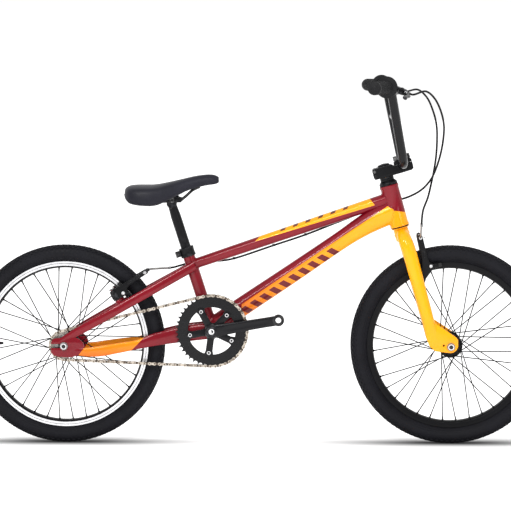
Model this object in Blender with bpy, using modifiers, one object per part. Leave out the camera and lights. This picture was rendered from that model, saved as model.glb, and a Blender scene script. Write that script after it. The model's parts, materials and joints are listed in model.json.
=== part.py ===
"""BMX bike with a straight-gauge alloy frame, a unicrown fork, 20-inch wheels and rim brakes.

Frame of the model: +X forward, +Y to the rider's left, +Z up; the origin is on the ground
midway between the two wheel axles. Driving dimensions are in millimetres.
"""

import bpy
import math
from mathutils import Matrix, Vector

MM = 0.001

# ---- driving dimensions -------------------------------------------------------------
WHEELBASE = 966.0
TYRE_R = 250.0            # 20 x 1.95 tyre on a 406 rim
TYRE_W = 50.0
RIM_R = 209.0             # rim flange radius
RIM_INNER_R = 192.7
RIM_W = 30.0
AXLE_Z = TYRE_R
BB_X, BB_Z = -114.0, 287.0
BB_HALF = 34.0            # 68 mm shell
BB_R = 21.0
SEAT_ANGLE = 17.8         # from vertical
HEAD_ANGLE = 15.5         # from vertical
HEAD_BOTTOM = (356.3, 547.4)   # X, Z of the head tube's lower end
HEAD_LENGTH = 107.0
HEAD_R = 23.0
STEERER_R = 14.3
POST_R = 12.7
SEAT_TUBE_R = 15.0
SEAT_TUBE_TOP = 213.0     # along the seat tube, from the bottom bracket
CRANK = 170.0
CRANK_RISE = 10.55        # degrees above horizontal, forward crank
RING_TEETH, COG_TEETH, PITCH = 44, 18, 12.7
CHAIN_Y = -41.5
REAR_DROPOUT_Y = 55.3     # inner face of a rear dropout plate
FRONT_DROPOUT_Y = 50.0
DROPOUT_T = 6.0
AXLE_R = 4.75
BAR_R = 11.1
PAD_R = 203.0             # brake pad's middle, on the rim's braking track
GAP = 0.3

# ---- scene --------------------------------------------------------------------------
for old in list(bpy.data.objects):
    bpy.data.objects.remove(old, do_unlink=True)
scene = bpy.context.scene
parts = bpy.data.collections.new("bmx_bike")
cutters = bpy.data.collections.new("cutters")
pivots = bpy.data.collections.new("pivots")
for group in (parts, cutters, pivots):
    scene.collection.children.link(group)
cutters.hide_render = True

COLOURS = {
    "maroon": ((0.30, 0.008, 0.03), 0.28, 0.35),
    "orange": ((0.95, 0.42, 0.02), 0.35, 0.0),
    "black": ((0.015, 0.015, 0.018), 0.4, 0.2),
    "rubber": ((0.02, 0.02, 0.025), 0.75, 0.0),
    "alloy": ((0.75, 0.75, 0.76), 0.3, 1.0),
    "steel": ((0.62, 0.57, 0.50), 0.35, 1.0),
    "vinyl": ((0.03, 0.03, 0.04), 0.55, 0.0),
}


def finish(obj, colour):
    base, rough, metal = COLOURS[colour]
    material = bpy.data.materials.new(obj.name)
    material.use_nodes = True
    shader = material.node_tree.nodes["Principled BSDF"]
    shader.inputs["Base Color"].default_value = (*base, 1.0)
    shader.inputs["Roughness"].default_value = rough
    shader.inputs["Metallic"].default_value = metal
    obj.data.materials.clear()
    obj.data.materials.append(material)
    obj.data.shade_smooth()
    obj.data.set_sharp_from_angle(angle=math.radians(40))
    return obj


def link(name, data, group=None):
    obj = bpy.data.objects.new(name, data)
    (group or parts).objects.link(obj)
    return obj


def applied(obj, weld=0.00001):
    """The object with its modifiers, or its curve, turned into a plain mesh."""
    bpy.context.view_layer.update()
    graph = bpy.context.evaluated_depsgraph_get()
    mesh = bpy.data.meshes.new_from_object(obj.evaluated_get(graph))
    import bmesh
    bm = bmesh.new()
    bm.from_mesh(mesh)
    bmesh.ops.remove_doubles(bm, verts=bm.verts, dist=weld)
    bmesh.ops.dissolve_degenerate(bm, dist=weld * 0.1, edges=bm.edges)
    bmesh.ops.recalc_face_normals(bm, faces=bm.faces)
    bm.to_mesh(mesh)
    bm.free()
    name = obj.name
    group = obj.users_collection[0]
    matrix = obj.matrix_world.copy()
    bpy.data.objects.remove(obj, do_unlink=True)
    new = link(name, mesh, group)
    new.matrix_world = matrix
    mesh.name = name
    bpy.context.view_layer.update()
    return new


def combine(obj, others, operation):
    for other in others:
        modifier = obj.modifiers.new(operation.lower(), "BOOLEAN")
        modifier.operation = operation
        modifier.object = other
        modifier.solver = "EXACT"
    obj = applied(obj)
    for other in others:
        if other.name in parts.objects:
            bpy.data.objects.remove(other, do_unlink=True)
    return obj


def joined(obj, *others):
    return combine(obj, others, "UNION")


def cut(obj, *others):
    return combine(obj, others, "DIFFERENCE")


def cutter(obj):
    for group in list(obj.users_collection):
        group.objects.unlink(obj)
    cutters.objects.link(obj)
    obj.hide_render = True
    obj.display_type = "WIRE"
    return obj


def basis(centre, axis, side=None):
    """Matrix whose Z is axis, at centre (mm)."""
    z = Vector(axis).normalized()
    hint = Vector(side) if side else (Vector((0, 1, 0)) if abs(z.y) < 0.9 else Vector((1, 0, 0)))
    x = (hint - z * hint.dot(z)).normalized()
    y = z.cross(x)
    m = Matrix((x, y, z)).transposed().to_4x4()
    m.translation = Vector(centre) * MM
    return m


def turned(name, profile, centre=(0, 0, 0), axis=(0, 0, 1), steps=16):
    """A closed turned body. profile: (r, h) pairs in mm; a profile that starts and ends on
    the axis is a solid, any other is closed on itself."""
    solid = profile[0][0] == 0 and profile[-1][0] == 0
    mesh = bpy.data.meshes.new(name)
    points = [(r * MM, 0, h * MM) for r, h in profile]
    edges = [(i, i + 1) for i in range(len(points) - 1)]
    if not solid:
        edges.append((len(points) - 1, 0))
    mesh.from_pydata(points, edges, [])
    obj = link(name, mesh)
    screw = obj.modifiers.new("screw", "SCREW")
    screw.steps = screw.render_steps = steps
    screw.use_merge_vertices = True
    screw.merge_threshold = 0.00001
    obj.matrix_world = basis(centre, axis)
    return applied(obj)


def cylinder(name, radius, start, end, sides=16, radius2=None):
    a, b = Vector(start), Vector(end)
    bpy.ops.mesh.primitive_cone_add(
        vertices=sides, radius1=radius * MM, radius2=(radius if radius2 is None else radius2) * MM,
        depth=(b - a).length * MM)
    obj = bpy.context.object
    for group in list(obj.users_collection):
        group.objects.unlink(obj)
    parts.objects.link(obj)
    obj.name = name
    obj.matrix_world = basis((a + b) / 2, b - a)
    bpy.context.view_layer.update()
    return obj


def block(name, size, matrix):
    """A box of size (mm) whose frame is matrix."""
    bpy.ops.mesh.primitive_cube_add(size=1)
    obj = bpy.context.object
    for group in list(obj.users_collection):
        group.objects.unlink(obj)
    parts.objects.link(obj)
    obj.name = name
    obj.data.transform(Matrix.Diagonal((size[0] * MM, size[1] * MM, size[2] * MM, 1)))
    obj.matrix_world = matrix
    bpy.context.view_layer.update()
    return obj


def tube(name, path, radii, sides=12, wall=None, width=1.0, hollow_caps=False):
    """A round tube along path (mm). width scales its size along Y, about each point."""
    curve = bpy.data.curves.new(name, "CURVE")
    curve.dimensions = "3D"
    curve.bevel_depth = MM
    curve.bevel_resolution = (sides - 4) // 2
    curve.use_fill_caps = wall is None
    spline = curve.splines.new("POLY")
    spline.points.add(len(path) - 1)
    if not hasattr(radii, "__len__"):
        radii = [radii] * len(path)
    for point, place, radius in zip(spline.points, path, radii):
        point.co = (place[0] * MM, place[1] / width * MM, place[2] * MM, 1)
        point.radius = radius
    obj = link(name, curve)
    obj = applied(obj)
    if width != 1.0:
        obj.data.transform(Matrix.Diagonal((1, width, 1, 1)))
    if wall:
        shell = obj.modifiers.new("wall", "SOLIDIFY")
        shell.thickness = wall * MM
        shell.offset = -1
        shell.use_rim = True
        obj = applied(obj)
    return obj


def plate(name, outline, thickness, matrix, holes=()):
    """A flat outline (mm, in the matrix's XY plane), thick along its Z and centred on it."""
    curve = bpy.data.curves.new(name, "CURVE")
    curve.dimensions = "2D"
    curve.fill_mode = "BOTH"
    curve.extrude = thickness / 2 * MM
    for loop in (outline, *holes):
        spline = curve.splines.new("POLY")
        spline.points.add(len(loop) - 1)
        for point, (x, y) in zip(spline.points, loop):
            point.co = (x * MM, y * MM, 0, 1)
        spline.use_cyclic_u = True
    obj = link(name, curve)
    obj.matrix_world = matrix
    return applied(obj)


def circle(x, y, r, n, start=0.0, sweep=360.0):
    full = abs(sweep) >= 360
    count = n if full else n - 1
    return [(x + r * math.cos(math.radians(start + sweep * i / count)),
             y + r * math.sin(math.radians(start + sweep * i / count))) for i in range(n)]


def upright(y):
    """Frame of the vertical plane at Y = y: local x is +X, local y is +Z."""
    m = Matrix(((1, 0, 0), (0, 0, -1), (0, 1, 0))).to_4x4()
    m.translation = Vector((0, y, 0)) * MM
    return m


def smooth(points, count):
    """count points along a centripetal spline through points."""
    p = [Vector(q) for q in points]
    p = [p[0] * 2 - p[1]] + p + [p[-1] * 2 - p[-2]]
    fine = []
    for i in range(1, len(p) - 2):
        t = [0.0]
        for a, b in ((i - 1, i), (i, i + 1), (i + 1, i + 2)):
            t.append(t[-1] + max((p[b] - p[a]).length, 1e-6) ** 0.5)
        for k in range(24):
            s = t[1] + (t[2] - t[1]) * k / 24
            a1 = p[i - 1].lerp(p[i], (s - t[0]) / (t[1] - t[0]))
            a2 = p[i].lerp(p[i + 1], (s - t[1]) / (t[2] - t[1]))
            a3 = p[i + 1].lerp(p[i + 2], (s - t[2]) / (t[3] - t[2]))
            b1 = a1.lerp(a2, (s - t[0]) / (t[2] - t[0]))
            b2 = a2.lerp(a3, (s - t[1]) / (t[3] - t[1]))
            fine.append(b1.lerp(b2, (s - t[1]) / (t[2] - t[1])))
    fine.append(p[-2])
    lengths = [0.0]
    for a, b in zip(fine, fine[1:]):
        lengths.append(lengths[-1] + (b - a).length)
    out, k = [], 0
    for i in range(count):
        want = lengths[-1] * i / (count - 1)
        while k < len(fine) - 2 and lengths[k + 1] < want:
            k += 1
        span = lengths[k + 1] - lengths[k]
        out.append(tuple(fine[k].lerp(fine[k + 1], (want - lengths[k]) / span if span else 0)))
    return out


def rounded(corners, radii, steps=5):
    """A polyline whose inner corners are turned into arcs of these radii."""
    p = [Vector(c) for c in corners]
    out = [p[0]]
    if not hasattr(radii, "__len__"):
        radii = [radii] * (len(p) - 2)
    for a, b, c, radius in zip(p, p[1:], p[2:], radii):
        u, v = (a - b).normalized(), (c - b).normalized()
        half = u.angle(v) / 2
        reach = radius / math.tan(half)
        start, end = b + u * reach, b + v * reach
        centre = b + (u + v).normalized() * (radius / math.sin(half))
        e1 = (start - centre).normalized()
        turn = math.pi - 2 * half
        e2 = (end - centre) - e1 * (end - centre).dot(e1)
        e2.normalize()
        for i in range(steps):
            t = turn * i / (steps - 1)
            out.append(centre + (e1 * math.cos(t) + e2 * math.sin(t)) * radius)
    out.append(p[-1])
    return [tuple(q) for q in out]


# ---- reference frames ---------------------------------------------------------------
REAR = Vector((-WHEELBASE / 2, 0, AXLE_Z))
FRONT = Vector((WHEELBASE / 2, 0, AXLE_Z))
BB = Vector((BB_X, 0, BB_Z))
seat_up = Vector((-math.sin(math.radians(SEAT_ANGLE)), 0, math.cos(math.radians(SEAT_ANGLE))))
head_up = Vector((-math.sin(math.radians(HEAD_ANGLE)), 0, math.cos(math.radians(HEAD_ANGLE))))
head_fwd = Vector((math.cos(math.radians(HEAD_ANGLE)), 0, math.sin(math.radians(HEAD_ANGLE))))
HEAD = Vector((HEAD_BOTTOM[0], 0, HEAD_BOTTOM[1]))


def on_seat(s, y=0.0):
    return BB + seat_up * s + Vector((0, y, 0))


def on_head(v, u, y=0.0):
    """A point v ahead of the steering axis and u above the head tube's lower end."""
    return HEAD + head_fwd * v + head_up * u + Vector((0, y, 0))


def steering_plane(y):
    """Local x is forward of the steering axis, local y is up along it; the normal is -Y."""
    m = Matrix((head_fwd, head_up, head_fwd.cross(head_up))).transposed().to_4x4()
    m.translation = (HEAD + Vector((0, y, 0))) * MM
    return m


# ---- frame --------------------------------------------------------------------------
head_tube = turned("head_tube", [(HEAD_R, HEAD_LENGTH), (HEAD_R, 0), (18.9, 0), (18.9, HEAD_LENGTH)],
                   HEAD, head_up, 20)
seat_tube = turned("seat_tube", [(SEAT_TUBE_R, SEAT_TUBE_TOP), (SEAT_TUBE_R, 14), (13.2, 14),
                                 (13.2, SEAT_TUBE_TOP)], BB, seat_up, 16)
bb_shell = turned("bb_shell", [(BB_R, BB_HALF), (BB_R, -BB_HALF), (17.2, -BB_HALF), (17.2, BB_HALF)],
                  BB, (0, 1, 0), 20)

around_bb = cutter(cylinder("around_bb", BB_R + GAP, BB + Vector((0, 80, 0)), BB - Vector((0, 80, 0)), 20))
around_seat = cutter(cylinder("around_seat_tube", SEAT_TUBE_R + 2 * GAP, BB, on_seat(SEAT_TUBE_TOP + 30), 24))
around_head = cutter(cylinder("around_head_tube", HEAD_R + GAP, on_head(0, -40), on_head(0, HEAD_LENGTH + 40), 24))

seat_tube = cut(seat_tube, around_bb)

TOP_SLOPE = 0.339


def top_z(x):
    return 507.5 + TOP_SLOPE * (x - 5.8)


top_path = [(-166, 0, top_z(-166)), (-60, 0, top_z(-60)), (120, 0, top_z(120)), (336, 0, top_z(336))]
top_radii = [12.7, 13.6, 14.8, 15.8]
top_tube = tube("top_tube", top_path, top_radii, 12, wall=1.8, width=1.1)
top_tube = cut(top_tube, around_seat, around_head)
around_top = cutter(tube("around_top_tube", top_path, [r + 2 * GAP for r in top_radii], 12, width=1.1))

down_path = [(-114, 0, 292), (-44, 0, 340.8), (96.4, 0, 435), (203.7, 0, 508.5), (254, 0, 542),
             (300, 0, 568.5), (346, 0, 588)]
down_radii = [24.3, 24.3, 23.6, 22.8, 25.2, 29, 30]
down_tube = tube("down_tube", down_path, down_radii, 14, wall=2.0, width=0.78)
down_tube = cut(down_tube, around_bb, around_head, around_top, around_seat)

# Seat stays: 24 mm high, 15 mm wide, from the seat tube's sides out past the tyre and chain.
STAY_SLOPE = 0.56
stay_along = Vector((1, 0, STAY_SLOPE)).normalized()
stay_out = Vector((-STAY_SLOPE, 0, 1)).normalized()


def stay_z(x):
    return 434.0 + STAY_SLOPE * (x + 184.4)


BRAKE_FOOT = Vector((-343.0 + 3.05, 0, stay_z(-343.0) + 1.7))   # on the stay's centre line
STUD_Y = 44.0


def rear_brake(t, n, y=0.0):
    return BRAKE_FOOT + stay_along * t + stay_out * n + Vector((0, y, 0))


DROPOUT = ([(-514.6, 261.0), (-507.0, 269.0), (-455.0, 272.0), (-438.0, 262.0), (-431.0, 248.2),
            (-450.0, 226.0), (-462.0, 222.6), (-480.3, 221.6), (-505.0, 225.5), (-514.8, 232.3), (-515.4, 244.9)]
           + circle(REAR.x, REAR.z, 5.1, 7, -90, 180) + [(-515.6, 255.1)])
stays = {}
for side, name in ((-1, "R"), (1, "L")):
    path = [(x, side * y, stay_z(x)) for x, y in
            ((-161, 18.5), (-200, 26.0), (-262, 39.5), (-300, 45.0), (-343, 51.3), (-362, 54.6),
             (-400, 57.4), (-458, 57.8))]
    stay = tube("seat_stay_" + name, path, [12, 12, 12, 12, 12, 12, 11.6, 10.5], 10, width=0.63)
    stay = cut(stay, around_seat)
    slot = cutter(plate("slot_" + name, [(-520, 215), (-430, 215), (-430, 246), (-437, 263),
                                         (-455, 272.4), (-520, 273)], DROPOUT_T + 2 * GAP,
                        upright(side * (REAR_DROPOUT_Y + DROPOUT_T / 2))))
    stay = cut(stay, slot)
    boss = cylinder("boss", 7.2, rear_brake(0, 4, side * STUD_Y), rear_brake(0, 19.6, side * STUD_Y), 10)
    stud = cylinder("stud", 4.0, rear_brake(0, 15, side * STUD_Y), rear_brake(0, 48.5, side * STUD_Y), 8)
    stays[name] = joined(stay, boss, stud)

    path = [(x, side * y, z) for x, y, z in
            ((-114, 25.5, 286), (-165, 26, 280.5), (-203, 27.2, 274.6), (-240, 33.5, 267.6),
             (-262, 38.6, 263.2), (-300, 44, 252.6), (-345, 51, 245.0), (-388, 56.5, 238.0),
             (-415, 57.9, 235.0), (-444, 58.3, 235.5))]
    stay = tube("chain_stay_" + name, path, [20.5, 20.5, 19.5, 16.8, 15.6, 11.8, 12.8, 13.5, 12.2, 10], 10, width=0.42)
    stay = cut(stay, around_bb)
    ear = plate("dropout", DROPOUT, DROPOUT_T, upright(side * (REAR_DROPOUT_Y + DROPOUT_T / 2)))
    stays["chain_" + name] = joined(stay, ear)

collar_s = SEAT_TUBE_TOP - 9
seat_collar = turned("seat_collar", [(18.6, 24), (18.6, 0), (15.5, 0), (15.5, 24)], on_seat(collar_s - 11), seat_up, 16)
lug = block("lug", (13, 15, 16), Matrix.Translation(on_seat(collar_s + 1.5) * MM - Vector((22.5, 0, 7)) * MM)
            @ Matrix.Rotation(math.radians(-SEAT_ANGLE), 4, "Y"))
bolt = cylinder("bolt", 3.4, on_seat(collar_s + 1.5, -12) + Vector((-24, 0, -8)), on_seat(collar_s + 1.5, 12) + Vector((-24, 0, -8)), 8)
inside = cutter(cylinder("inside_collar", 15.5, on_seat(collar_s - 30), on_seat(collar_s + 40), 16))
seat_collar = cut(joined(seat_collar, lug, bolt), inside)

headset_cup_upper = turned("headset_cup_upper", [(HEAD_R, HEAD_LENGTH + 1.8), (HEAD_R, HEAD_LENGTH + GAP),
                                                 (18.2, HEAD_LENGTH + GAP), (18.2, HEAD_LENGTH - 12),
                                                 (15.2, HEAD_LENGTH - 12), (15.2, HEAD_LENGTH + 1.8)],
                           HEAD, head_up, 16)
headset_cup_lower = turned("headset_cup_lower", [(18.2, 12), (18.2, -GAP), (HEAD_R, -GAP), (HEAD_R, -1.8),
                                                 (15.2, -1.8), (15.2, 12)], HEAD, head_up, 16)
cups = []
for side, name in ((-1, "R"), (1, "L")):
    cups.append(turned("bb_cup_" + name, [(16.4, 22.5), (9.4, 22.5), (9.4, 37), (20, 37), (20, BB_HALF + GAP),
                                          (16.4, BB_HALF + GAP)], BB, (0, side, 0), 14))

# ---- wheels -------------------------------------------------------------------------

def tyre(name, centre):
    outer = [(201.6, 12.4), (209.4, 12.5), (218.5, 22.3), (230, TYRE_W / 2), (242, 19.8), (TYRE_R, 6.5)]
    inner = [(245.3, 5.5), (231, 21), (213, 14.5), (201.6, 9)]
    loop = outer + [(r, -h) for r, h in reversed(outer)] + [(r, -h) for r, h in reversed(inner)] + inner
    return turned(name, loop, centre, (0, 1, 0), 28)


def rim(name, centre):
    top = [(RIM_R, 13.2), (200, 13.0)]
    side = [(RIM_INNER_R, 8), (198, RIM_W / 2), (RIM_R, RIM_W / 2)]
    loop = [(r, -h) for r, h in top] + [(r, h) for r, h in reversed(top)] + [(r, h) for r, h in reversed(side)] \
        + [(r, -h) for r, h in side]
    return turned(name, loop, centre, (0, 1, 0), 28)


def spokes(name, centre, flange_r, flange_y):
    """36 spokes, three-cross, whose nipples are held by one thin band under the rim."""
    import bmesh
    band = turned(name, [(191.1, 3.6), (191.1, -3.6), (188.4, -3.6), (188.4, 3.6)], centre, (0, 1, 0), 36)
    bm = bmesh.new()
    for side in (-1, 1):
        for k in range(18):
            hub = math.radians(20 * k + (5 if side < 0 else 15))
            leads = k % 2 == 0
            tip = hub + math.radians(60 if leads else -60)
            y0 = side * (flange_y + (4.9 if leads else -4.3))
            a = Vector((flange_r * math.cos(hub), y0, flange_r * math.sin(hub)))
            b = Vector((189.8 * math.cos(tip), side * 1.6, 189.8 * math.sin(tip)))
            m = basis(centre + (a + b) / 2, b - a)
            bmesh.ops.create_cone(bm, cap_ends=True, segments=4, radius1=1.25 * MM, radius2=1.25 * MM,
                                  depth=(b - a).length * MM, matrix=m)
    mesh = bpy.data.meshes.new("wires")
    bm.to_mesh(mesh)
    bm.free()
    return joined(band, link("wires", mesh))


def hub(name, centre, flange_r, flange_y, end_r, end_y, neck=None):
    half = [(6.0, end_y), (end_r, end_y), (end_r, flange_y + 1.5), (flange_r, flange_y + 1.5),
            (flange_r, flange_y - 1.5), (15, flange_y - 4)]
    other = half if neck is None else [(6.0, neck[1]), (neck[0], neck[1])] + [(neck[0], flange_y + 1.5)] + half[3:]
    loop = half + [(r, -h) for r, h in reversed(other)]
    return turned(name, loop, centre, (0, 1, 0), 14)


front_tyre = tyre("front_tyre", FRONT)
rear_tyre = tyre("rear_tyre", REAR)
front_rim = rim("front_rim", FRONT)
rear_rim = rim("rear_rim", REAR)
FRONT_FLANGE = (30.0, 31.0)
REAR_FLANGE = (30.0, 28.5)
front_hub = hub("front_hub", FRONT, *FRONT_FLANGE, 16, 44.5)
rear_hub = hub("rear_hub", REAR, *REAR_FLANGE, 16, 48, (14, 46.5))
front_spokes = spokes("front_spokes", FRONT, 25.5, FRONT_FLANGE[1])
rear_spokes = spokes("rear_spokes", REAR, 25.5, REAR_FLANGE[1])


def axle(name, centre, inner, outer, end):
    loop = [(0, end), (AXLE_R, end), (AXLE_R, outer - GAP), (8, outer - GAP), (8, inner), (AXLE_R, inner)]
    return turned(name, loop + [(r, -h) for r, h in reversed(loop)], centre, (0, 1, 0), 12)


def nut(name, centre, side, face):
    body = cylinder(name, 8.9, centre + Vector((0, side * (face + 1.6), 0)), centre + Vector((0, side * (face + 9), 0)), 6)
    flange = cylinder("flange", 10.0, centre + Vector((0, side * face, 0)), centre + Vector((0, side * (face + 2.4), 0)), 14)
    hole = cutter(cylinder(name + "_bore", AXLE_R + 0.5, centre + Vector((0, side * (face - 5), 0)),
                           centre + Vector((0, side * (face + 15), 0)), 12))
    return cut(joined(body, flange), hole)


rear_axle = axle("rear_axle", REAR, 48.6, REAR_DROPOUT_Y, 73)
front_axle = axle("front_axle", FRONT, 45.1, FRONT_DROPOUT_Y, 67)
rear_nuts = [nut("rear_nut_" + n, REAR, s, REAR_DROPOUT_Y + DROPOUT_T + GAP) for s, n in ((-1, "R"), (1, "L"))]
front_nuts = [nut("front_nut_" + n, FRONT, s, FRONT_DROPOUT_Y + 5 + GAP) for s, n in ((-1, "R"), (1, "L"))]

# ---- drive --------------------------------------------------------------------------
RING_PITCH_R = PITCH / 2 / math.sin(math.pi / RING_TEETH)
COG_PITCH_R = PITCH / 2 / math.sin(math.pi / COG_TEETH)


def toothed(teeth, root, tip, start=0.0):
    points = []
    for i in range(teeth):
        for part, r in ((0.0, root), (0.5, tip)):
            a = math.radians(start) + 2 * math.pi * (i + part) / teeth
            points.append((r * math.cos(a), r * math.sin(a)))
    return points


def bb_plane(y):
    m = upright(y)
    m.translation = (BB + Vector((0, y, 0))) * MM
    return m


SPIDER = [CRANK_RISE + 36 + 72 * k for k in range(5)]
window = []
for angle in SPIDER:
    window += circle(0, 0, 59.5, 5, angle + 9.5, 53)
    a = math.radians(angle + 72)
    window += [(47.5 * math.cos(a - 0.10), 47.5 * math.sin(a - 0.10)), (47.5 * math.cos(a + 0.10), 47.5 * math.sin(a + 0.10))]
bolt_holes = [circle(55 * math.cos(math.radians(a)), 55 * math.sin(math.radians(a)), 5.4, 8) for a in SPIDER]
chainring = plate("chainring", toothed(RING_TEETH, RING_PITCH_R - 4.0, RING_PITCH_R + 2.7), 3.0, bb_plane(CHAIN_Y),
                  [window] + bolt_holes)

freewheel = turned("freewheel", [(25, 13.2), (25, 1), (15.2, 1), (15.2, 13.2)], REAR + Vector((0, -34.0, 0)), (0, -1, 0), 16)
m = upright(CHAIN_Y)
m.translation = (REAR + Vector((0, CHAIN_Y, 0))) * MM
sprocket = plate("sprocket", toothed(COG_TEETH, COG_PITCH_R - 4.0, COG_PITCH_R + 2.3), 3.0, m, [circle(0, 0, 20, 16)])
freewheel = joined(freewheel, sprocket)


def chain_loop():
    """Pitch line of the chain: two arcs and two straight runs, in X and Z."""
    dx, dz = REAR.x - BB.x, REAR.z - BB.z
    span = math.hypot(dx, dz)
    line = math.atan2(dz, dx)
    lean = math.asin((RING_PITCH_R - COG_PITCH_R) / span)
    half = math.pi / 2 - lean
    points = []
    start, end = line + half, line - half + 2 * math.pi
    for i in range(25):
        a = start + (end - start) * i / 24
        points.append((BB.x + RING_PITCH_R * math.cos(a), BB.z + RING_PITCH_R * math.sin(a)))
    last = points[-1]
    start, end = line - half, line + half
    cog = [(REAR.x + COG_PITCH_R * math.cos(start + (end - start) * i / 10),
            REAR.z + COG_PITCH_R * math.sin(start + (end - start) * i / 10)) for i in range(11)]
    for t in (0.33, 0.67):
        points.append((last[0] + (cog[0][0] - last[0]) * t, last[1] + (cog[0][1] - last[1]) * t))
    points += cog
    first = points[0]
    for t in (0.33, 0.67):
        points.append((cog[-1][0] + (first[0] - cog[-1][0]) * t, cog[-1][1] + (first[1] - cog[-1][1]) * t))
    return points


section = bpy.data.curves.new("chain_section", "CURVE")
section.dimensions = "2D"
spline = section.splines.new("POLY")
SECTION = [(4.3, 4.4), (-4.3, 4.4), (-4.3, 1.95), (3.3, 1.95), (3.3, -1.95), (-4.3, -1.95), (-4.3, -4.4), (4.3, -4.4)]
spline.points.add(len(SECTION) - 1)
for point, (out, across) in zip(spline.points, SECTION):
    point.co = (-out * MM, across * MM, 0, 1)
spline.use_cyclic_u = True
guide = cutter(link("chain_section", section))
curve = bpy.data.curves.new("chain", "CURVE")
curve.dimensions = "2D"
curve.bevel_mode = "OBJECT"
curve.bevel_object = guide
curve.fill_mode = "NONE"
spline = curve.splines.new("POLY")
LOOP = chain_loop()
spline.points.add(len(LOOP) - 1)
for point, (x, z) in zip(spline.points, LOOP):
    point.co = (x * MM, z * MM, 0, 1)
spline.use_cyclic_u = True
chain = link("chain", curve)
chain.matrix_world = upright(CHAIN_Y)
chain = applied(chain)

spindle = cylinder("spindle", 8.4, BB + Vector((0, 58, 0)), BB - Vector((0, 58, 0)), 12)
cranks = {}
for side, name in ((-1, "R"), (1, "L")):
    turn = math.radians(CRANK_RISE if side < 0 else CRANK_RISE + 180)
    out = Vector((math.cos(turn), 0, math.sin(turn)))
    eye = BB + out * CRANK
    width = 0.42
    arm = tube("crank_" + name, [BB + out * r + Vector((0, side * y, 0)) for r, y in
                                 ((0, 55.5), (24, 56.5), (70, 62), (125, 71), (162, 77))],
               [15, 15, 13.6, 12.4, 12], 10, width=width)
    hub_end = cylinder("hub_end", 18, BB + Vector((0, side * 43.6, 0)), BB + Vector((0, side * 61.5, 0)), 16)
    ring = cylinder("ring", 14.5, eye + Vector((0, side * 71, 0)), eye + Vector((0, side * 84, 0)), 14)
    pieces = [hub_end, ring]
    if side < 0:
        star = []
        for a in SPIDER:
            for r, d in ((19.5, -28), (24, -20), (56, -9.2)):
                star.append((r * math.cos(math.radians(a + d)), r * math.sin(math.radians(a + d))))
            star += circle(55 * math.cos(math.radians(a)), 55 * math.sin(math.radians(a)), 9, 5, a - 72, 144)
            for r, d in ((56, 9.2), (24, 20)):
                star.append((r * math.cos(math.radians(a + d)), r * math.sin(math.radians(a + d))))
        pieces.append(plate("spider", star, 5.0, bb_plane(-46.1)))
        for k, a in enumerate(SPIDER):
            c = BB + Vector((55 * math.cos(math.radians(a)), 0, 55 * math.sin(math.radians(a))))
            pieces.append(cylinder("bolt%d" % k, 4.5, c - Vector((0, 39.5, 0)), c - Vector((0, 49.7, 0)), 10))
    arm = joined(arm, *pieces)
    bore = cutter(cylinder("crank_bore_" + name, 8.8, BB + Vector((0, side * 30, 0)), BB + Vector((0, side * 58.6, 0)), 12))
    thread = cutter(cylinder("pedal_thread_" + name, 7.1, eye + Vector((0, side * 60, 0)), eye + Vector((0, side * 95, 0)), 12))
    cranks[name] = cut(arm, bore, thread)

# ---- seat post and saddle -----------------------------------------------------------
HEAD_S = 332.0
HEAD_POINT = on_seat(HEAD_S)
seatpost = cylinder("seatpost", POST_R, on_seat(130), on_seat(HEAD_S - 4), 14)
post_head = cylinder("post_head", 12.0, HEAD_POINT - Vector((0, 14, 0)), HEAD_POINT + Vector((0, 14, 0)), 14)
seatpost = joined(seatpost, post_head)

cheeks = []
for side in (-1, 1):
    cheeks.append(block("cheek", (46, 9.6, 12), Matrix.Translation((HEAD_POINT + Vector((2, side * 19.6, 10))) * MM)))
saddle_clamp = joined(block("saddle_clamp", (34, 48, 5), Matrix.Translation((HEAD_POINT + Vector((2, 0, 17.0))) * MM)), *cheeks)

RAIL_Z = HEAD_POINT.z + 7
rail_half = [(-292, 33, 617.5), (-268, 28, 612.2), (-252, 23, RAIL_Z), (-222, 21.6, RAIL_Z), (-197, 21, RAIL_Z + 1),
             (-190, 20.8, RAIL_Z + 4), (-178, 19.5, 624), (-163, 15.5, 637.5), (-152, 10, 643.0), (-147, 0, 644.6)]
rail_path = [(x, -y, z) for x, y, z in rail_half] + [(x, y, z) for x, y, z in reversed(rail_half[:-1])]
saddle_rails = tube("saddle_rails", smooth(rail_path, 38), 3.4, 6)
rail_room = cutter(tube("rail_room", smooth(rail_path, 38), 3.4 + GAP, 6))
saddle_clamp = cut(saddle_clamp, rail_room)

# X, half width, top, skirt bottom of the padded cover
SADDLE = [(-331.5, 38, 641, 623), (-325, 58, 647, 611), (-300, 71, 649.8, 603.5), (-264, 71.5, 650.0, 601.5),
          (-235, 61, 654.5, 609.5), (-205, 45, 661, 623.0), (-177, 32, 667.8, 637.0), (-140, 21.5, 675, 647.5),
          (-112, 18, 676.5, 652.0), (-97, 13, 671, 657.0)]


def loft(name, sections):
    """Closed body through like sections, each a loop of points."""
    import bmesh
    bm = bmesh.new()
    rows = [[bm.verts.new(Vector(p) * MM) for p in loop] for loop in sections]
    count = len(rows[0])
    for a, b in zip(rows, rows[1:]):
        for i in range(count):
            bm.faces.new((a[i], a[(i + 1) % count], b[(i + 1) % count], b[i]))
    bm.faces.new(rows[0])
    bm.faces.new(rows[-1][::-1])
    bmesh.ops.recalc_face_normals(bm, faces=bm.faces)
    bmesh.ops.triangulate(bm, faces=bm.faces)
    mesh = bpy.data.meshes.new(name)
    bm.to_mesh(mesh)
    bm.free()
    return link(name, mesh)


def underside(top, bottom):
    return max(bottom + 3.0, top - 22.0)


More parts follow.
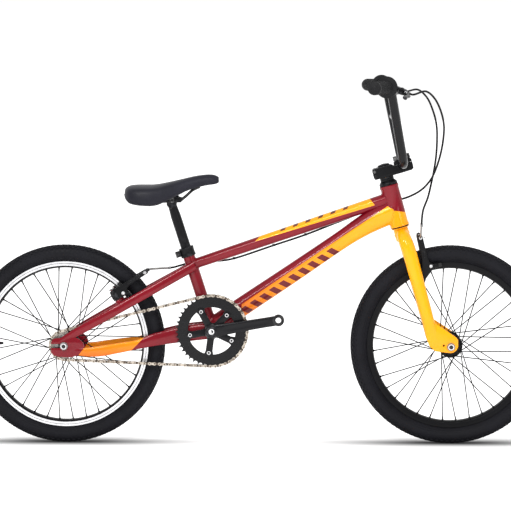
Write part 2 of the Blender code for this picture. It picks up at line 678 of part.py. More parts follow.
def pad_section(x, w, top, bottom):
    under = underside(top, bottom)
    half = [(0, top), (0.5 * w, top - 1.5), (0.85 * w, top - 8), (w, (top + bottom) / 2), (0.97 * w, bottom + 3),
            (0.90 * w, bottom), (0.82 * w, min(bottom + 2, under)), (0.78 * w, under)]
    return [(x, y, z) for y, z in half] + [(x, -y, z) for y, z in reversed(half[1:])]


def shell_section(x, w, top, bottom):
    z = underside(top, bottom) - 0.5
    half = [(0, z), (0.74 * w, z), (0.74 * w, z - 2.6), (0, z - 2.6)]
    return [(x, y, z) for y, z in half] + [(x, -y, z) for y, z in (half[2], half[1])]


saddle_pad = loft("saddle_pad", [pad_section(*s) for s in SADDLE])
inner = [(x + (4 if i == 0 else 0), w, t, b) for i, (x, w, t, b) in enumerate(SADDLE[1:-1])]
saddle_shell = loft("saddle_shell", [shell_section(*s) for s in inner])
rail_cut = cutter(tube("rail_cut", smooth(rail_path, 38), 3.4 + 2 * GAP, 6))
saddle_shell = cut(saddle_shell, rail_cut)
saddle_pad = cut(saddle_pad, rail_cut)

# ---- fork, stem and handlebar -------------------------------------------------------
steerer_tube = turned("steerer_tube", [(17.5, -5.0), (17.5, -34), (12.2, -34), (12.2, 154), (STEERER_R, 154), (STEERER_R, -2.2), (21.5, -2.2), (21.5, -5.0)][::-1],
                      HEAD, head_up, 16)
crown_room = cutter(cylinder("crown_room", 17.5 + GAP, on_head(0, -60), on_head(0, -5), 20))
race_room = cutter(cylinder("race_room", 30, on_head(0, -5 - GAP), on_head(0, 20), 16))

FRONT_STUD_Y = 29.0
BRAKE_U = -150.0
fork_outline = [(442.3, 309.8), (470, 291.5), (494, 275.5), (500.5, 268), (500, 250), (495, 240), (485, 234.2), (441.5, 239.0),
                (432, 257), (420, 279.0), (426, 300)]
legs = {}
for side, name in ((-1, "R"), (1, "L")):
    path = [on_head(v, u, side * y) for v, u, y in
            ((0, -20, 8), (0.6, -21, 22), (1.5, -25, 36), (2.6, -34, 47), (3.8, -48, 53.2), (4.8, -66, 55),
             (4.8, -160, 54), (4.8, -268, 53.0))]
    leg = tube("fork_leg_" + name, path, [14, 15, 16.4, 17, 17.4, 17.4, 16.2, 14.4], 12)
    leg = cut(leg, crown_room, race_room)
    blade = plate("blade", fork_outline, 5.0, upright(side * (FRONT_DROPOUT_Y + 2.5)), [circle(FRONT.x, FRONT.z, 5.3, 12)])
    boss = cylinder("boss", 6.8, on_head(-8, BRAKE_U, side * FRONT_STUD_Y), on_head(4.7, BRAKE_U, side * FRONT_STUD_Y), 10)
    stud = cylinder("stud", 4.0, on_head(0, BRAKE_U, side * FRONT_STUD_Y), on_head(19.5, BRAKE_U, side * FRONT_STUD_Y), 8)
    bridge = block("bridge", (9, 11, 14), steering_plane(0) @ Matrix.Translation(Vector((-1.6, BRAKE_U, -side * (FRONT_STUD_Y + 7))) * MM))
    legs[name] = joined(leg, blade, boss, stud, bridge)

headset_cover = turned("headset_cover", [(22.6, 109.2), (22.6, 112), (17.5, 119), (17.0, 128.2), (14.8, 128.2), (14.8, 109.2)],
                       HEAD, head_up, 16)

STEM_OUTLINE = ([(-31, 128.6), (14.5, 128.6), (70, 129.6), (71.5, 148.8), (26, 149.2), (18, 156.5), (-31, 156.5)])
stem = plate("stem", STEM_OUTLINE, 44.0, steering_plane(0))
steerer_bore = cutter(cylinder("steerer_bore", STEERER_R + 0.5, on_head(0, 100), on_head(0, 180), 16))
bar_bore = cutter(cylinder("bar_bore", BAR_R + 0.4, on_head(48, 149.7, -60), on_head(48, 149.7, 60), 16))
split = cutter(block("split", (40, 3, 60), steering_plane(0) @ Matrix.Translation(Vector((-34, 142, 0)) * MM)
                     @ Matrix.Rotation(math.radians(90), 4, "X")))
stem = cut(stem, steerer_bore, bar_bore, split)
stem_clamp_plate = plate("stem_clamp_plate", [(25, 150.4), (71.3, 150.4), (70, 158), (60, 164.5), (36, 164.5), (27, 159)], 44.0, steering_plane(0))
screws = []
for v in (32.0, 65.0):
    for y in (-16, 16):
        screws.append(cylinder("screw", 4.6, on_head(v, 156, y), on_head(v, 172, y), 8))
stem_clamp_plate = joined(cut(stem_clamp_plate, bar_bore), *screws)
stem_cap = turned("stem_cap", [(0, 162.5), (4.5, 162.5), (4.5, 160), (15, 160), (15, 157.0), (0, 157.0)], HEAD, head_up, 14)

BAR_LOW = on_head(48, 149.7)
GRIP_FROM = Vector((325, 187, 897.5))
GRIP_TO = Vector((282, 353.5, 896.4))
bar_half = [BAR_LOW, Vector((BAR_LOW.x, 80, BAR_LOW.z)), GRIP_FROM, GRIP_TO]
corners = [Vector((p.x, -p.y, p.z)) for p in reversed(bar_half[1:])] + bar_half[1:]
handlebar = tube("handlebar", rounded(corners, [40, 52, 52, 40], 5), BAR_R, 8, wall=1.6)
low, high = bar_half[1], GRIP_FROM
t = 0.60
cross = low.lerp(high, t)
bar_room = [cutter(cylinder("bar_room_" + n, BAR_R + GAP, Vector((low.x, s * low.y, low.z)), Vector((high.x, s * high.y, high.z)), 16))
            for s, n in ((-1, "R"), (1, "L"))]
crossbar = cut(cylinder("crossbar", 8.0, (cross.x, -cross.y, cross.z), (cross.x, cross.y, cross.z), 10), *bar_room)

grips, brackets, levers, lever_axes, adjusters = {}, {}, {}, {}, {}
LEVER_TILT = math.radians(20)
for side, name in ((-1, "R"), (1, "L")):
    base = Vector((GRIP_FROM.x, side * GRIP_FROM.y, GRIP_FROM.z))
    tip = Vector((GRIP_TO.x, side * GRIP_TO.y, GRIP_TO.z))
    along = (tip - base).normalized()
    length = (tip - base).length
    grips[name] = turned("grip_" + name, [(0, length + 4.5), (15.6, length + 4.5), (16, length - 2), (15.4, 48), (16, 42.6), (26.5, 42.2),
                                          (26.5, 38.6), (11.6, 38.6), (11.6, length + GAP), (0, length + GAP)], base, along, 16)
    ahead = Vector((0, 0, 1)).cross(along)
    if ahead.x < 0:
        ahead = -ahead
    reach = (ahead * math.cos(LEVER_TILT) - Vector((0, 0, 1)) * math.sin(LEVER_TILT)).normalized()
    normal = along.cross(reach).normalized()
    if normal.z < 0:
        normal = -normal
    centre = base + along * 31

    def at(a, r, n, centre=centre, along=along, reach=reach, normal=normal):
        return centre + along * a + reach * r + normal * n

    ring = turned("lever_bracket_" + name, [(15.6, 6), (15.6, -6), (11.6, -6), (11.6, 6)], centre, along, 14)
    m = Matrix((reach, along, reach.cross(along))).transposed().to_4x4()
    m.translation = at(-3, 26, 7.6) * MM
    lug = block("lug", (32, 18, 4.2), m)
    m2 = m.copy()
    m2.translation = at(-7, 17, 3.5) * MM
    neck = block("neck", (12, 12, 11), m2)
    barrel = cylinder("barrel", 3.6, at(-9, 20, 3), at(-14, 46, 3), 8)
    brackets[name] = joined(ring, lug, neck, barrel)
    bar_hole = cutter(cylinder("bar_hole_" + name, BAR_R + 0.45, at(-40, 0, 0), at(40, 0, 0), 16))
    brackets[name] = cut(brackets[name], bar_hole)
    adjusters[name] = (at(-14, 46, 3), (at(-14, 46, 3) - at(-9, 20, 3)).normalized())
    pivot = at(2, 36, 0)
    lever_axes[name] = (pivot, normal, along, reach)
    blade = tube("lever_" + name, [pivot + along * a + reach * r + normal * -0.2 for a, r in
                                   ((-1, 0), (5, 11), (13, 20), (26, 25), (55, 26), (84, 29), (96, 33))],
                 [5, 5, 4.6, 4.4, 4.4, 4.6, 4.8], 8)
    eye = cylinder("eye", 6.4, pivot - normal * 5, pivot + normal * 5, 12)
    levers[name] = joined(blade, eye)

# ---- brake arms ---------------------------------------------------------------------
arms = {}


def brake_arm(name, plane, outline, stud_from, stud_to, foot, up, lean, side, pad_at, pad_middle, pad_along, rim_gap, tube_path=None):
    """A bent arm swinging on its stud, with its pad. up runs along the arm, and the arm leans
    towards the wheel by lean degrees."""
    arm = plate(name, outline, 9.0, plane)
    barrel = cylinder("barrel", 8.2, stud_from, stud_to, 12)
    arm = joined(arm, barrel)
    out = (stud_to - stud_from).normalized()
    inward = out.cross(up).y * -side
    turn = Matrix.Translation(foot * MM) @ Matrix.Rotation(lean * (1 if inward > 0 else -1), 4, out) @ Matrix.Translation(-foot * MM)
    arm.matrix_world = turn @ arm.matrix_world
    bpy.context.view_layer.update()
    y_pad = RIM_W / 2 + rim_gap
    across = Vector((0, side, 0))
    holder = cylinder("holder", 4.2, Vector((pad_at.x, side * (y_pad + 4), pad_at.z)), Vector((pad_at.x, side * (abs(foot.y) + 6), pad_at.z)), 8)
    m = Matrix((pad_along, across, pad_along.cross(across))).transposed().to_4x4()
    m.translation = Vector((pad_middle.x, side * (y_pad + 4), pad_middle.z)) * MM
    pad = block("pad", (56, 8, 9.5), m)
    extra = [holder, pad]
    if tube_path:
        extra.append(tube("guide", tube_path, 2.6, 6))
    arm = joined(arm, *extra)
    hole = cutter(cylinder(name + "_bore", 4.5, stud_from - out * 5, stud_to + out * 5, 10))
    return cut(arm, hole)


arm_axes = {}
for side, name in ((-1, "R"), (1, "L")):
    # front: local x ahead of the steering axis, local y up along it
    foot = on_head(12, BRAKE_U, side * FRONT_STUD_Y)
    outline = [(5.0, BRAKE_U - 7), (18, BRAKE_U - 7), (27, BRAKE_U + 6), (52, BRAKE_U + 28), (54, BRAKE_U + 40), (48, BRAKE_U + 46),
               (45.5, BRAKE_U + 56), (47, BRAKE_U + 116), (43, BRAKE_U + 120), (35, BRAKE_U + 119), (31, BRAKE_U + 70), (25, BRAKE_U + 36), (5.0, BRAKE_U + 8)]
    pad_at = on_head(47.5, BRAKE_U + 36)
    radial = (pad_at - FRONT).normalized()
    tangent = Vector((-radial.z, 0, radial.x)).normalized()
    guide_path = None
    if side < 0:
        top = on_head(41, BRAKE_U + 112)
        guide_path = rounded([top + Vector((0, -22, 0)), top + Vector((0, -58, 0)), top + Vector((1.5, -61, 30))], 17, 4)
    arms["front_" + name] = brake_arm("brake_arm_front_" + name, steering_plane(side * FRONT_STUD_Y), outline,
                                      on_head(5.0, BRAKE_U, side * FRONT_STUD_Y), on_head(18.0, BRAKE_U, side * FRONT_STUD_Y),
                                      foot, head_up, math.radians(-4.0), side, pad_at, FRONT + radial * PAD_R, tangent, 2.0, guide_path)
    arm_axes["front_" + name] = (foot, head_fwd)
    # rear: local x up along the stay, local y out from it
    m = Matrix((stay_along, stay_out, stay_along.cross(stay_out))).transposed().to_4x4()
    m.translation = (BRAKE_FOOT + Vector((0, side * STUD_Y, 0))) * MM
    outline = [(-8, 20.2), (-8.5, 42), (-4, 48.5), (96, 50.5), (101, 47), (100, 42), (62, 39.5), (36, 36), (32, 22), (10, 20.2)]
    pad_at = rear_brake(22.0, 28.5)
    radial = (pad_at - REAR).normalized()
    tangent = Vector((-radial.z, 0, radial.x)).normalized()
    foot = rear_brake(0, 30, side * STUD_Y)
    guide_path = None
    if side > 0:
        top = rear_brake(93, 46)
        ahead = Vector((52, 0, 3.5))
        guide_path = rounded([top + Vector((0, 22, 0)), top + Vector((0, 62, 0)), top + Vector((0, 62, 0)) + ahead], 17, 4)
    arms["rear_" + name] = brake_arm("brake_arm_rear_" + name, m, outline, rear_brake(0, 20.2, side * STUD_Y),
                                     rear_brake(0, 46, side * STUD_Y), foot, stay_along, math.radians(5.0), side,
                                     pad_at, REAR + radial * PAD_R, tangent, 2.0, guide_path)
    arm_axes["rear_" + name] = (foot, stay_out)

# ---- brake cables -------------------------------------------------------------------
front_end = on_head(41, BRAKE_U + 112) + Vector((1.6, -61.2, 31))
rear_end = rear_brake(93, 46) + Vector((54.0, 62.1, 3.6))
a, a_out = adjusters["R"]
b, b_out = adjusters["L"]
rear_cable_path = [tuple(a + a_out * 1.4), tuple(a + a_out * 14), (411, -180, 887), (432, -158, 871), (450, -128, 838), (459, -104, 802), (458, -82, 762),
                   (451, -57, 720), (440, -32, 683), (430, -12, 662), (415, 5, 643), (397, 19, 629), (376, 29, 618.5), (352, 33, 611),
                   (320, 30.5, 603), (280, 25, 590), (240, 21.5, 571.5), (200, 17, 556), (120, 7, 525.3), (40, 4, 498.5), (-60, 6, 465.0),
                   (-90, 13, 459), (-115, 21, 457), (-140, 28.5, 457), (-160, 35, 454.5), (-180, 44, 449), (-200, 53, 442.5), (-214, 59.5, 438), tuple(rear_end)]
front_cable_path = [tuple(b + b_out * 1.4), tuple(b + b_out * 12), (407, 177, 886), (428, 156, 868), (443, 124, 834), (451, 96, 798), (451, 66, 758),
                    (447, 36, 718), (440, 6, 683), (433, -16, 655), (424, -36, 622), (412, -51, 592), tuple(front_end + Vector((1.0, 0, 20))), tuple(front_end)]
rear_brake_cable = tube("rear_brake_cable", smooth(rear_cable_path, 46), 2.5, 6)
front_brake_cable = tube("front_brake_cable", smooth(front_cable_path, 26), 2.5, 6)

# ---- finishes, pivots and parents ---------------------------------------------------
FINISH = {
    "maroon": ["head_tube", "top_tube", "down_tube", "seat_tube", "bb_shell", "seat_stay_R", "seat_stay_L", "chain_stay_R", "chain_stay_L"],
    "orange": ["fork_leg_R", "fork_leg_L", "steerer_tube"],
    "rubber": ["front_tyre", "rear_tyre", "grip_R", "grip_L", "front_brake_cable", "rear_brake_cable"],
    "alloy": ["rear_rim", "rear_axle", "front_axle", "rear_nut_R", "rear_nut_L", "front_nut_R", "front_nut_L", "freewheel"],
    "steel": ["chain"],
    "vinyl": ["saddle_pad"],
}
for colour, names in FINISH.items():
    for name in names:
        finish(bpy.data.objects[name], colour)
for obj in parts.objects:
    if not obj.data.materials:
        finish(obj, "black")

PIVOTS = {
    "steering_axis": (HEAD, ["steerer_tube", "fork_leg_R", "fork_leg_L", "headset_cover", "stem", "stem_clamp_plate", "stem_cap",
                             "handlebar", "crossbar", "grip_R", "grip_L", "lever_bracket_R", "lever_bracket_L", "front_axle",
                             "front_nut_R", "front_nut_L", "front_brake_cable"]),
    "front_wheel_axis": (FRONT, ["front_tyre", "front_rim", "front_hub", "front_spokes"]),
    "rear_wheel_axis": (REAR, ["rear_tyre", "rear_rim", "rear_hub", "rear_spokes"]),
    "freewheel_axis": (REAR, ["freewheel"]),
    "crank_axis": (BB, ["crank_R", "crank_L", "spindle", "chainring"]),
    "seat_post_slide": (on_seat(SEAT_TUBE_TOP), ["seatpost"]),
    "saddle_tilt_axis": (HEAD_POINT, ["saddle_clamp", "saddle_rails", "saddle_shell", "saddle_pad"]),
    "lever_R_axis": (lever_axes["R"][0], ["lever_R"]),
    "lever_L_axis": (lever_axes["L"][0], ["lever_L"]),
}
for end in ("front", "rear"):
    for name in ("R", "L"):
        PIVOTS["brake_%s_%s_axis" % (end, name)] = (arm_axes[end + "_" + name][0], ["brake_arm_%s_%s" % (end, name)])
UNDER = {"front_wheel_axis": "steering_axis", "lever_R_axis": "steering_axis", "lever_L_axis": "steering_axis",
         "brake_front_R_axis": "steering_axis", "brake_front_L_axis": "steering_axis", "saddle_tilt_axis": "seat_post_slide"}
for name, (place, _) in PIVOTS.items():
    pivot = bpy.data.objects.new(name, None)
    pivots.objects.link(pivot)
    pivot.empty_display_size = 0.03
    pivot.location = Vector(place) * MM
bpy.context.view_layer.update()
for name, parent in UNDER.items():
    child, owner = bpy.data.objects[name], bpy.data.objects[parent]
    child.parent = owner
    child.matrix_parent_inverse = owner.matrix_world.inverted()
bpy.context.view_layer.update()
for name, (_, children) in PIVOTS.items():
    owner = bpy.data.objects[name]
    for child_name in children:
        child = bpy.data.objects[child_name]
        child.parent = owner
        child.matrix_parent_inverse = owner.matrix_world.inverted()
bpy.context.view_layer.update()
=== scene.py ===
"""Looks of the BMX bike. Lengths are in millimetres until a mesh is made."""
import bpy
import bmesh
import json
import math
import random
from mathutils import Matrix, Vector

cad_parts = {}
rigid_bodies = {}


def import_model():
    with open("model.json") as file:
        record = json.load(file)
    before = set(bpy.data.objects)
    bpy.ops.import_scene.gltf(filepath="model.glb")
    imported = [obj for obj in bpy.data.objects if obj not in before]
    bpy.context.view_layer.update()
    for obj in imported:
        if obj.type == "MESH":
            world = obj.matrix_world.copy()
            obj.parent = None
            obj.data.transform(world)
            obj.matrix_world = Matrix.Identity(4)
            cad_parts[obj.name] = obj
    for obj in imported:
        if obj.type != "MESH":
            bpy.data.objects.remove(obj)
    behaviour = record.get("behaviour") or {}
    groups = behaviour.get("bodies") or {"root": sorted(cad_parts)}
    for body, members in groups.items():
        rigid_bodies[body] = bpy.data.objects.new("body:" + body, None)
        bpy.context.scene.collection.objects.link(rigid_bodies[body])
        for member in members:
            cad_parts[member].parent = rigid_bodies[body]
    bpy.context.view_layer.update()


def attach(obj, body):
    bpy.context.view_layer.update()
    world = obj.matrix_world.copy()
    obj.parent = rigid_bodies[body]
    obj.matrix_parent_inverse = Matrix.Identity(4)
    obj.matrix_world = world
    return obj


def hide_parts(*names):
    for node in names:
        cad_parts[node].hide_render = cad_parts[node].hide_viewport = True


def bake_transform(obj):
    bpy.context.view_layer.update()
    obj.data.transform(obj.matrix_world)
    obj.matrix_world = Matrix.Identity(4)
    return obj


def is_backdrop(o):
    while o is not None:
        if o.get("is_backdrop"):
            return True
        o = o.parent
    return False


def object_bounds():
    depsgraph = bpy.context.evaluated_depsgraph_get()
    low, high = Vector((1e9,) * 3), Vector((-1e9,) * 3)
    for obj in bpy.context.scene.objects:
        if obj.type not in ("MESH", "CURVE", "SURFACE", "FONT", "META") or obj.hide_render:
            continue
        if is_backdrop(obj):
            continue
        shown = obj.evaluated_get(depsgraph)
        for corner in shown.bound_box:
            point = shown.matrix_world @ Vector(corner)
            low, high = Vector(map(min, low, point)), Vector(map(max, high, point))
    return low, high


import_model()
random.seed(7)
MM = 0.001
scene = bpy.context.scene

# ------------------------------------------------------------------ reference geometry
REAR, FRONT, BB = Vector((-483, 0, 250)), Vector((483, 0, 250)), Vector((-114, 0, 287))
SA, HA = math.radians(17.8), math.radians(15.5)
seat_up = Vector((-math.sin(SA), 0, math.cos(SA)))
head_up = Vector((-math.sin(HA), 0, math.cos(HA)))
head_fwd = Vector((math.cos(HA), 0, math.sin(HA)))
HEAD = Vector((356.3, 0, 547.4))
HEAD_LEN = 107.0
BRAKE_U = -150.0
STAY = Vector((1, 0, 0.56)).normalized()
STAY_OUT = Vector((-0.56, 0, 1)).normalized()
BRAKE_FOOT = Vector((-339.95, 0, 434 + 0.56 * (-343 + 184.4) + 1.7))
HEAD_POINT = BB + seat_up * 332.0


def on_seat(s, y=0.0):
    return BB + seat_up * s + Vector((0, y, 0))


def on_head(v, u, y=0.0):
    return HEAD + head_fwd * v + head_up * u + Vector((0, y, 0))


def rear_brake(t, n, y=0.0):
    return BRAKE_FOOT + STAY * t + STAY_OUT * n + Vector((0, y, 0))


# ------------------------------------------------------------------ materials
class Shade:
    def __init__(self, name, colour, rough=0.5, metal=0.0, **sockets):
        self.m = bpy.data.materials.new(name)
        self.m.use_nodes = True
        self.t = self.m.node_tree
        self.b = self.t.nodes["Principled BSDF"]
        self.b.inputs["Base Color"].default_value = (*colour, 1)
        self.b.inputs["Roughness"].default_value = rough
        self.b.inputs["Metallic"].default_value = metal
        self.colour = colour
        for key, value in sockets.items():
            self.b.inputs[key.replace("_", " ")].default_value = value

    def new(self, kind, **values):
        n = self.t.nodes.new("ShaderNode" + kind)
        for key, value in values.items():
            setattr(n, key, value)
        return n

    def put(self, socket, value):
        if hasattr(value, "is_output") or isinstance(value, bpy.types.NodeSocket):
            self.t.links.new(value, socket)
        else:
            socket.default_value = value

    def coord(self):
        return self.new("TexCoord").outputs["Object"]

    def xyz(self):
        n = self.new("SeparateXYZ")
        self.put(n.inputs[0], self.coord())
        return n.outputs

    def math(self, op, a, b=0.0, c=0.0, clamp=False):
        n = self.new("Math", operation=op, use_clamp=clamp)
        self.put(n.inputs[0], a)
        self.put(n.inputs[1], b)
        self.put(n.inputs[2], c)
        return n.outputs[0]

    def noise(self, scale, detail=2.0, vector=None, rough=0.5):
        n = self.new("TexNoise")
        self.put(n.inputs["Vector"], vector or self.coord())
        n.inputs["Scale"].default_value = scale
        n.inputs["Detail"].default_value = detail
        n.inputs["Roughness"].default_value = rough
        return n.outputs[0]

    def voronoi(self, scale, feature="F1"):
        n = self.new("TexVoronoi", feature=feature)
        self.put(n.inputs["Vector"], self.coord())
        n.inputs["Scale"].default_value = scale
        return n.outputs["Distance"]

    def mix(self, fac, a, b):
        n = self.new("Mix", data_type="RGBA")
        self.put(n.inputs[0], fac)
        self.put(n.inputs[6], (*a, 1) if isinstance(a, tuple) else a)
        self.put(n.inputs[7], (*b, 1) if isinstance(b, tuple) else b)
        return n.outputs[2]

    def remap(self, value, lo, hi, to_lo, to_hi):
        n = self.new("MapRange")
        self.put(n.inputs[0], value)
        for i, x in enumerate((lo, hi, to_lo, to_hi)):
            n.inputs[i + 1].default_value = x
        return n.outputs[0]

    def base(self, value):
        self.put(self.b.inputs["Base Color"], value)

    def rough(self, value):
        self.put(self.b.inputs["Roughness"], value)

    def bump(self, height, strength=0.2, distance=0.0005, then=None):
        n = self.new("Bump")
        n.inputs["Strength"].default_value = strength
        n.inputs["Distance"].default_value = distance
        self.put(n.inputs["Height"], height)
        if then is not None:
            self.put(n.inputs["Normal"], then)
        self.put(self.b.inputs["Normal"], n.outputs[0])
        return n.outputs[0]

    def line(self, x, z, a, b, blur=0.6):
        """1 on the left of the line from a to b (mm, in X and Z), 0 on its right."""
        dx, dz = b[0] - a[0], b[1] - a[1]
        length = math.hypot(dx, dz)
        nx, nz = -dz / length, dx / length
        d = self.math("ADD", self.math("MULTIPLY", x, nx * 1000), self.math("MULTIPLY", z, nz * 1000))
        d = self.math("SUBTRACT", d, nx * a[0] + nz * a[1])
        return self.math("MULTIPLY_ADD", d, 1 / blur, 0.5, clamp=True)

    def both(self, *masks):
        out = masks[0]
        for m in masks[1:]:
            out = self.math("MULTIPLY", out, m)
        return out

    def either(self, *masks):
        out = masks[0]
        for m in masks[1:]:
            out = self.math("MAXIMUM", out, m)
        return out


MAROON = (0.205, 0.0006, 0.009)
YELLOW, ORANGE = (0.98, 0.355, 0.0008), (0.72, 0.15, 0.003)


def frame_paint(name, zone):
    s = Shade(name, MAROON, 0.34, 0.0, Coat_Weight=0.45, Coat_Roughness=0.03, Specular_IOR_Level=0.12)
    x, y, z = s.xyz()
    cloud = s.noise(9.0, 3)
    flake = s.noise(2600.0, 1)
    maroon = s.mix(s.remap(cloud, 0.35, 0.65, 0, 1), MAROON, (0.165, 0.0005, 0.007))
    maroon = s.mix(s.remap(flake, 0.60, 0.80, 0, 0.2), maroon, (0.45, 0.01, 0.03))
    warm = s.mix(s.remap(x, -0.05, 0.24, 0, 1), ORANGE, YELLOW)
    warm = s.mix(s.remap(cloud, 0.35, 0.65, 0, 0.12), warm, (0.95, 0.30, 0.004))
    if zone == "down":
        below = s.math("SUBTRACT", 1.0, s.line(x, z, (-18, 366.5), (306, 586)))
        mask = s.both(below, s.math("MULTIPLY_ADD", s.math("SUBTRACT", x, -0.040), 900, 0.5, clamp=True))
        # generic slanted dashes along the lower face, dark on orange
        dx, dz = 0.8275, 0.5615
        along = s.math("ADD", s.math("MULTIPLY", x, dx * 1000), s.math("MULTIPLY", z, dz * 1000))
        across = s.math("ADD", s.math("MULTIPLY", x, -dz * 1000), s.math("MULTIPLY", z, dx * 1000))
        across = s.math("SUBTRACT", across, -dz * -18 + dx * 366.5)
        lean = s.math("ADD", along, s.math("MULTIPLY", across, 0.55))
        phase = s.math("FRACT", s.math("DIVIDE", lean, 29.0))
        dash = s.both(s.math("MULTIPLY_ADD", s.math("SUBTRACT", phase, 0.14), 60, 0.5, clamp=True),
                      s.math("MULTIPLY_ADD", s.math("SUBTRACT", 0.70, phase), 60, 0.5, clamp=True))
        band = s.both(s.math("MULTIPLY_ADD", s.math("SUBTRACT", -8.0, across), 1.6, 0.5, clamp=True),
                      s.math("MULTIPLY_ADD", s.math("SUBTRACT", across, -29.0), 1.6, 0.5, clamp=True))
        index = s.math("FLOOR", s.math("DIVIDE", lean, 29.0))
        reach, start = s.math("LESS_THAN", index, 14.5), s.math("GREATER_THAN", index, 4.5)
        dark = s.both(dash, band, reach, start, mask)
        warm = s.mix(dark, warm, (0.13, 0.006, 0.008))
    elif zone == "top":
        above = s.line(x, z, (-6, 509.5), (291, 600.5))
        left = s.math("SUBTRACT", 1.0, s.line(x, z, (-8, 508), (38, 555)))
        right = s.line(x, z, (296, 597), (262, 640))
        mask = s.both(above, left, right)
        dx, dz = 0.947, 0.321
        along = s.math("ADD", s.math("MULTIPLY", x, dx * 1000), s.math("MULTIPLY", z, dz * 1000))
        across = s.math("ADD", s.math("MULTIPLY", x, -dz * 1000), s.math("MULTIPLY", z, dx * 1000))
        lean = s.math("SUBTRACT", along, s.math("MULTIPLY", across, 1.0))
        phase = s.math("FRACT", s.math("DIVIDE", lean, 33.0))
        dash = s.math("MULTIPLY_ADD", s.math("SUBTRACT", 0.40, phase), 60, 0.5, clamp=True)
        lid = s.line(x, z, (0, 515.5), (297, 616.2))
        span = s.both(s.math("MULTIPLY_ADD", s.math("SUBTRACT", 0.235, x), 900, 0.5, clamp=True),
                      s.math("MULTIPLY_ADD", s.math("SUBTRACT", x, 0.05), 900, 0.5, clamp=True))
        warm = s.mix(s.both(dash, lid, span), YELLOW, (0.12, 0.03, 0.01))
    elif zone == "head":
        mask = s.math("SUBTRACT", 1.0, s.line(x, z, (313, 591.5), (372, 583.5)))
        warm = s.mix(s.remap(cloud, 0.35, 0.65, 0, 0.1), YELLOW, (0.95, 0.30, 0.004))
    elif zone == "stay":
        left = s.math("SUBTRACT", 1.0, s.line(x, z, (-450, 222.7), (-432.6, 245.4)))
        right = s.line(x, z, (-316, 237), (-285.8, 268.3))
        mask = s.both(left, right)
        warm = s.mix(s.remap(z, 0.225, 0.27, 0, 1), (0.62, 0.13, 0.003), (0.86, 0.29, 0.002))
    else:
        mask = 0.0
    s.base(s.mix(mask, maroon, warm) if zone else maroon)
    s.rough(s.remap(cloud, 0.3, 0.7, 0.30, 0.38))
    s.bump(s.noise(420.0, 2), 0.04, 0.0002)
    s.b.inputs["Metallic"].default_value = 0.12
    return s.m


def plain(name, colour, rough, metal=0.0, grain=300.0, depth=0.06, shift=0.18, coat=0.0, wear=None, **more):
    s = Shade(name, colour, rough, metal, Coat_Weight=coat, Coat_Roughness=0.08, **more)
    n = s.noise(grain, 3)
    big = s.noise(14.0, 3)
    darker = tuple(c * (1 - shift) for c in colour)
    brighter = wear or tuple(min(1, c * (1 + shift)) for c in colour)
    col = s.mix(s.remap(big, 0.3, 0.7, 0, 1), darker, brighter if wear is None else colour)
    if wear:
        edge = s.new("NewGeometry").outputs["Pointiness"]
        col = s.mix(s.both(s.remap(edge, 0.53, 0.60, 0, 0.6), s.remap(s.noise(90.0, 4), 0.45, 0.6, 0, 1)), col, wear)
    s.base(col)
    s.rough(s.remap(n, 0.3, 0.7, max(0.02, rough - 0.06), min(1, rough + 0.06)))
    s.bump(n, depth, 0.0003)
    return s.m


PAINT = {zone: frame_paint("frame_paint_" + (zone or "plain"), zone) for zone in ("down", "top", "head", "stay", "")}


def fork_paint():
    s = Shade("fork_paint", YELLOW, 0.3, 0.0, Coat_Weight=0.35, Coat_Roughness=0.05, Specular_IOR_Level=0.12)
    x, y, z = s.xyz()
    cloud = s.noise(11.0, 2)
    c = s.mix(s.remap(cloud, 0.35, 0.65, 0, 0.25), (0.98, 0.40, 0.0005), (0.95, 0.33, 0.0005))
    c = s.mix(s.remap(s.noise(2600.0, 1), 0.58, 0.75, 0, 0.25), c, (1.0, 0.58, 0.03))
    c = s.mix(s.remap(z, 0.22, 0.34, 0.35, 0.0), c, (0.95, 0.28, 0.004))
    s.base(c)
    s.rough(s.remap(cloud, 0.3, 0.7, 0.27, 0.35))
    s.bump(s.noise(420.0, 2), 0.04, 0.0002)
    return s.m


FORK = fork_paint()
GLOSS_BLACK = plain("black_gloss_paint", (0.005, 0.005, 0.006), 0.25, 0.0, 500, 0.03, 0.2, 0.10, wear=(0.06, 0.06, 0.07), Specular_IOR_Level=0.15)
SATIN_BLACK = plain("black_satin_anodised", (0.005, 0.005, 0.006), 0.38, 0.2, 900, 0.06, 0.2, 0.0, wear=(0.09, 0.09, 0.10), Specular_IOR_Level=0.18)
FORGED_BLACK = plain("black_forged_crank", (0.004, 0.004, 0.0055), 0.32, 0.0, 350, 0.07, 0.2, 0.08, wear=(0.08, 0.08, 0.08), Specular_IOR_Level=0.18)
CHROME = plain("polished_steel", (0.66, 0.66, 0.67), 0.24, 1.0, 700, 0.04, 0.12)
ZINC = plain("zinc_steel", (0.24, 0.23, 0.22), 0.34, 1.0, 260, 0.10, 0.3)
SPOKE = plain("black_spoke_steel", (0.002, 0.002, 0.0025), 0.45, 0.0, 900, 0.03, 0.2, Specular_IOR_Level=0.1)
CABLE = plain("cable_jacket", (0.003, 0.003, 0.0035), 0.45, 0.0, 900, 0.05, 0.2, Specular_IOR_Level=0.15)
PLASTIC = plain("moulded_black_plastic", (0.005, 0.005, 0.006), 0.5, 0.0, 700, 0.12, 0.2, Specular_IOR_Level=0.2)
PAD = plain("brake_pad_rubber", (0.012, 0.012, 0.013), 0.8, 0.0, 500, 0.2, 0.2)
BOLT = plain("black_oxide_bolt", (0.012, 0.012, 0.013), 0.33, 0.6, 800, 0.05, 0.2, wear=(0.4, 0.4, 0.4))


